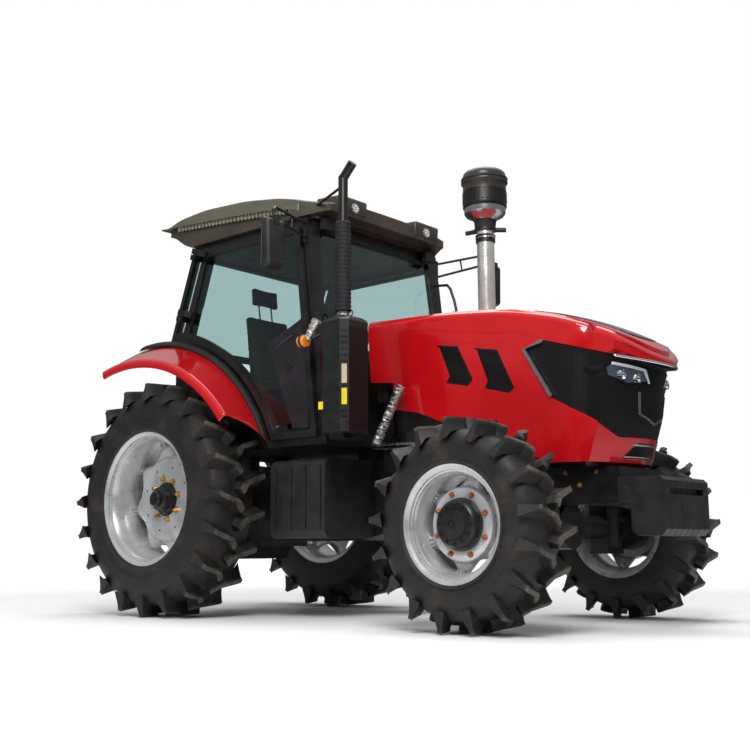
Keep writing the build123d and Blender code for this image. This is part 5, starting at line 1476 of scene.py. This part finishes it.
piece("canister_bowl", bm, "hood", trim_silver, sharp=30)
bm = bmesh.new()
turned(bm, stack_x, 0, neck, 48)
piece("stack_neck", bm, "hood", rubber, sharp=40)

# %% [markdown]
# ## Painted sky reflection
# A blue-grey sheet lies on the hood's crown, widest a little behind its middle: it is a painted
# reflection of the sky on the glossy red top. A boolean cut from above doesn't hold on the crown's
# form, so a grid is laid straight on it instead: each of its points asks the hood for its height there.

# %% Painted sky reflection on the hood's crown
# Blue-grey paint that stands for the sky reflected in the hood's top: a painted reflection.
sky_reflection_paint = finish("sky_reflection_paint", (0.045, 0.060, 0.080), (0.075, 0.095, 0.125), (0.22, 0.34), 9.0,
                   grain=(300, 0.2, 0.001), coat=0.3)
reflection_half_width = ((0.62, 0.62), (0.66, 0.74), (0.72, 0.76), (0.84, 0.56), (0.93, 0.46))


def hood_top(u, across, lift):
    """A point of the hood's crown: u runs from its rear to its nose, across from side to side."""
    x = rear_end + u * (along(nose_line, 1.70) - rear_end)
    y = across * flank(x)
    x -= bow_back(y, u)
    return at(x, y, crown_height(x, across) + lift)


# The sheet of painted reflection, laid on the crown a few millimetres proud.
bm = bmesh.new()
for v in bmesh.ops.create_grid(bm, x_segments=40, y_segments=30, size=0.5)["verts"]:
    u = 0.62 + (v.co.x + 0.5) * 0.31
    v.co = hood_top(u, 2 * v.co.y * along(reflection_half_width, u), 0.003)
walled(piece("painted_sky_reflection", bm, "hood", sky_reflection_paint, sharp=30), 0.004, 0.0)

# %% [markdown]
# ## Corner lamps and the side pipe
# An amber lamp stands off each front corner of the cab on a bent stalk. The right one's
# stalk and a pipe beside the hood are wound with crumpled foil: short rods in a row, whose
# radius wavers from one to the next, give that uneven winding with few faces.

# %% Corner lamps and side pipe
amber = finish("amber_lens", (0.75, 0.20, 0.01), (0.85, 0.28, 0.02), (0.10, 0.18), 30.0, coat=0.6)
foil = finish("foil_wrap", (0.55, 0.54, 0.52), (0.72, 0.71, 0.69), (0.18, 0.42), 26.0, metal=0.85,
              grain=(34, 0.9, 0.01))


def wound(bm, start, end, count, width, segments):
    """A row of short rods between two points; width gives the radius after a number of them."""
    for number in range(count):
        rod(bm, start.lerp(end, number / count), start.lerp(end, (number + 1) / count),
            width(number), segments, width(number + 1))


lens, stalk, base = bmesh.new(), bmesh.new(), bmesh.new()
for way in (-1, 1):
    spot = at(1.488, way * 0.985, 1.914)
    half_lens, half_base = Vector((0.034, 0, 0)), Vector((0.008, 0, 0))
    rod(lens, spot, spot + half_lens, 0.046, 28, 0.040)
    rod(lens, spot - half_lens, spot, 0.040, 28, 0.046)
    rod(base, spot - half_base, spot + half_base, 0.050, 28)
    rod(base, spot + Vector((0, -way * 0.03, 0.0)), at(1.46, way * 0.80, 1.99), 0.011, 12)
wound(stalk, at(1.52, -0.975, 1.93), at(1.600, -0.965, 2.052), 14,
      lambda k: 0.026 + 0.010 * k / 14 + 0.003 * math.sin(k * 1.7), 14)
piece("corner_lamps", lens, "chassis", amber, bevel=0.004)
piece("corner_lamp_brackets", base, "chassis", black_plastic, bevel=0.002)
piece("corner_lamp_wrap", stalk, "chassis", foil, sharp=70)
bm = bmesh.new()
wound(bm, at(1.93, -0.47, 1.61), at(1.83, -0.62, 1.20), 30,
      lambda k: 0.032 + 0.0022 * math.sin(k * 1.3) + 0.0016 * math.sin(k * 2.9), 18)
piece("foil_pipe", bm, "chassis", foil, sharp=80)

# %% [markdown]
# ## Vents
# Two slanted vents open in each of the hood's flanks. Frame and mesh are cut from thin
# layers of the hood's own form, so that they follow its skin: the frame from a layer at the
# surface, the mesh from one a little deeper.

# %% Vent frames and mesh
def drawn_in(shape, along_share, up_share):
    """A side-view outline shrunk about its middle."""
    mid_x, mid_z = (sum(point[axis] for point in shape) / len(shape) for axis in (0, 1))
    return [(mid_x + (x - mid_x) * along_share, mid_z + (z - mid_z) * up_share) for x, z in shape]


for number, shape in enumerate(vent_edges, 1):
    for side, hand in sides:
        tag = f"{side}_{number}"
        first = tag == "right_1"
        near, far = sorted((-hand * (hood_half - 0.060), -hand * (hood_half + 0.05)))
        border = carve(skin(0.001, 0.012), side_prism(shape, near, far), "INTERSECT")
        border = carve(border, side_prism(drawn_in(shape, 0.84, 0.88), near, far))
        piece("vent_frame_" + tag, border, "hood", gloss_black, sharp=30)
        mesh_bm = carve(skin(0.006, 0.014), side_prism(shape, near, far), "INTERSECT")
        piece("vent_mesh_" + tag, mesh_bm, "hood", mesh_black, sharp=30,
              replaces=("hood_vents",) if first else (), slot="black_plastic" if first else None)

# %% [markdown]
# ## Mirrors
# A mirror is a rounded plastic shell that tapers to its back and foot, with a face of glass
# let into it, on an arm of bent tube from a plate on the cab's post. The left one sits
# higher. The shell starts as a block whose back and foot are drawn in before it is rounded.

# %% Mirrors
mirror_glass = finish("mirror_glass", (0.75, 0.77, 0.80), (0.80, 0.82, 0.85), (0.01, 0.03), 20.0, metal=1.0)
shells, faces, arms = bmesh.new(), bmesh.new(), bmesh.new()
for way, arm_z in ((-1, 2.800), (1, 2.985)):
    y, high, low = way * 1.298, arm_z - 0.075, arm_z - 0.440
    mid = (low + high) / 2
    shell = bmesh.new()
    brick(shell, at(1.474, y - 0.098, low), at(1.540, y + 0.098, high))
    for v in shell.verts:
        if v.co.x > ahead(1.5):
            v.co.y = y + (v.co.y - y) * 0.80
            v.co.z = mid + (v.co.z - mid) * 0.90
        if v.co.z < mid:
            v.co.y = y + (v.co.y - y) * 0.86
    rounded(shell, shell.edges[:], 0.022, 5)
    brick(shell, at(1.50, y - 0.022, high - 0.05), at(1.545, y + 0.022, high + 0.01))
    join(shells, shell)
    brick(faces, at(1.4715, y - 0.080, low + 0.022), at(1.4745, y + 0.080, high - 0.022))
    upper_root, lower_root = at(1.293, way * 0.776, 2.845), at(1.300, way * 0.776, 2.735)
    bend = at(1.49, y - way * 0.03, arm_z + 0.012)
    rod(arms, upper_root, bend, 0.010, 14)
    rod(arms, lower_root, at(1.498, y - way * 0.004, arm_z - 0.060), 0.010, 14)
    rod(arms, bend, at(1.508, y, arm_z - 0.02), 0.010, 14)
    rod(arms, at(1.508, y, arm_z - 0.012), at(1.508, y, high - 0.04), 0.012, 14)
    rod(arms, upper_root.lerp(bend, 0.45), lower_root.lerp(at(1.498, y, arm_z - 0.060), 0.45), 0.007, 10)
    near, far = sorted((way * 0.764, way * 0.784))
    brick(arms, at(1.278, near, 2.700), at(1.308, far, 2.870))
piece("mirror_shells", shells, "chassis", black_plastic, sharp=40, replaces=("mirrors",),
      slot="black_plastic")
piece("mirror_faces", faces, "chassis", mirror_glass)
piece("mirror_arms", arms, "chassis", black_paint, sharp=40)

# %% [markdown]
# ## Helm and levers
# The steering wheel is a torus with three flat spokes and a domed boss. It is built lying
# flat about the origin, where its spokes are easy to turn, and then tilted into its place.
# A console beside the seat carries levers with round knobs.

# %% Helm and levers
bm = bmesh.new()
torus(bm, Vector((0, 0, 0)), 0.202, 0.0125, 12, 48, (0, 0, 1))
rod(bm, (0, 0, -0.025), (0, 0, 0.012), 0.045, 32, 0.036)
for number in range(3):
    spoke = brick(bm, (0.02, -0.014, -0.008), (0.195, 0.014, 0.004))
    bmesh.ops.transform(bm, matrix=Matrix.Rotation(math.tau * number / 3, 4, "Z"), verts=spoke)
helm_place = Matrix.Translation(at(0.976, 0, 2.082)) @ turned_to((-135, 0, 190))
bmesh.ops.transform(bm, matrix=helm_place, verts=bm.verts)
piece("helm", bm, "chassis", black_plastic, sharp=40, replaces=("steering_wheel",), slot="black_plastic")
bm = bmesh.new()
for x, y, lean in ((0.62, -0.36, 0.02), (0.70, -0.36, 0.03), (0.78, -0.36, 0.04), (0.86, -0.20, 0.03)):
    rod(bm, at(x, y, 1.60), at(x + lean, y, 1.93), 0.007, 10)
    ball(bm, at(x + lean, y, 1.94), 0.021, 18, 10)
brick(bm, at(0.50, -0.42, 1.30), at(0.90, -0.30, 1.62))
piece("hand_levers", bm, "chassis", black_plastic, sharp=40, bevel=0.004)

# %% [markdown]
# ## Blank stickers
# The guard carries coloured plates on its side and on its cut corner. They stay blank: thin
# blocks that stand a millimetre proud, because a sheet with no wall would flicker against
# the paint.

# %% Blank stickers
sticker_yellow = finish("sticker_yellow", (0.80, 0.62, 0.01), (0.85, 0.68, 0.02), (0.35, 0.45), 8.0)
sticker_beige = finish("sticker_beige", (0.55, 0.45, 0.32), (0.62, 0.52, 0.40), (0.4, 0.5), 8.0)


def corner_plate(bm, z, below, above):
    """A plate on the guard's cut corner."""
    spot = at(guard_front - cut / 2, guard_side + cut / 2, z)
    brick(bm, spot + Vector((-0.001, -0.018, -below)), spot + Vector((0.0012, 0.018, above)),
          corner_turn, spot)


bm = bmesh.new()
brick(bm, at(1.605, guard_side - 0.0012, 1.43), at(1.649, guard_side, 1.482))
corner_plate(bm, 1.50, 0.05, 0.06)
piece("guard_stickers", bm, "chassis", sticker_yellow)
bm = bmesh.new()
corner_plate(bm, 1.655, 0.06, 0.07)
piece("guard_label", bm, "chassis", sticker_beige)

# %% [markdown]
# ## Front weights
# Eight cast slabs hang side by side on the front, with a gap between each and a notch for a
# hand in all but the outer two. One side-view outline is extruded eight times, and a bar
# runs through the row.

# %% Front weights
slab_outline = ((3.48, 0.762), (3.562, 0.762), (3.562, 0.602), (3.602, 0.562), (3.758, 0.562),
                (3.788, 0.600), (3.788, 0.888), (3.763, 0.913), (3.48, 0.913))
slabs, slab_pitch, slab_width = 8, 0.0747, 0.0715
bm = bmesh.new()
for number in range(slabs):
    y = -0.298 + number * slab_pitch
    slab = side_prism(slab_outline, y, y + slab_width)
    if number not in (0, slabs - 1):
        notch = bmesh.new()
        brick(notch, at(3.752, y - 0.01, 0.806), at(3.82, y + 0.09, 0.846))
        slab = carve(slab, notch)
    join(bm, slab)
rod(bm, at(3.53, -0.300, 0.84), at(3.53, 0.300, 0.84), 0.020, 6)
piece("weight_slabs", bm, "chassis", frame_paint, sharp=30, replaces=("front_weights",), slot="black_paint",
      bevel=0.003)

# %% [markdown]
# ## Bolts, rods and a rail
# The frame's rails are bolted up with yellow-zinc nuts, bright rods run back under the hood,
# and a bent grab rail stands on the left front post. Nuts reuse the wheels' nut; the rail is
# straight rods with a ball at each bend, which looks like one bent bar at this size.

# %% Frame bolts and side rods
bolt_spots = ((1.133, 1.070), (1.211, 1.066), (1.124, 0.981), (1.211, 1.000), (1.294, 0.996), (1.124, 0.837),
              (1.217, 0.827), (1.294, 0.832), (1.86, 0.96), (1.94, 0.88), (2.02, 0.96), (2.40, 0.96),
              (2.50, 0.88), (3.10, 0.96), (3.20, 0.88), (3.32, 0.96))
bolts, rods = bmesh.new(), bmesh.new()
for way in (-1, 1):
    for x, z in bolt_spots:
        if way == -1 or x > 1.5:
            nut(bolts, at(x, way * 0.262, z), 0.012, 0.012, -way)
    rod(rods, at(1.55, way * 0.335, 1.232), at(1.95, way * 0.335, 1.222), 0.010, 12)
    rod(rods, at(1.55, way * 0.335, 1.205), at(1.93, way * 0.335, 1.190), 0.007, 12)
piece("frame_bolts", bolts, "chassis", nut_gold, sharp=30)
piece("side_rods", rods, "chassis", steel, sharp=30)

# %% Grab rail
rail = [at(x, 0.700, z) for x, z in ((1.330, 2.640), (1.465, 2.625), (1.495, 2.590), (1.535, 2.480),
                                     (1.556, 2.387), (1.365, 2.372))]
bm = bmesh.new()
for start, end in zip(rail, rail[1:]):
    rod(bm, start, end, 0.011, 14)
    ball(bm, end, 0.0112, 14, 8)
piece("grab_rail", bm, "chassis", black_paint, sharp=50)
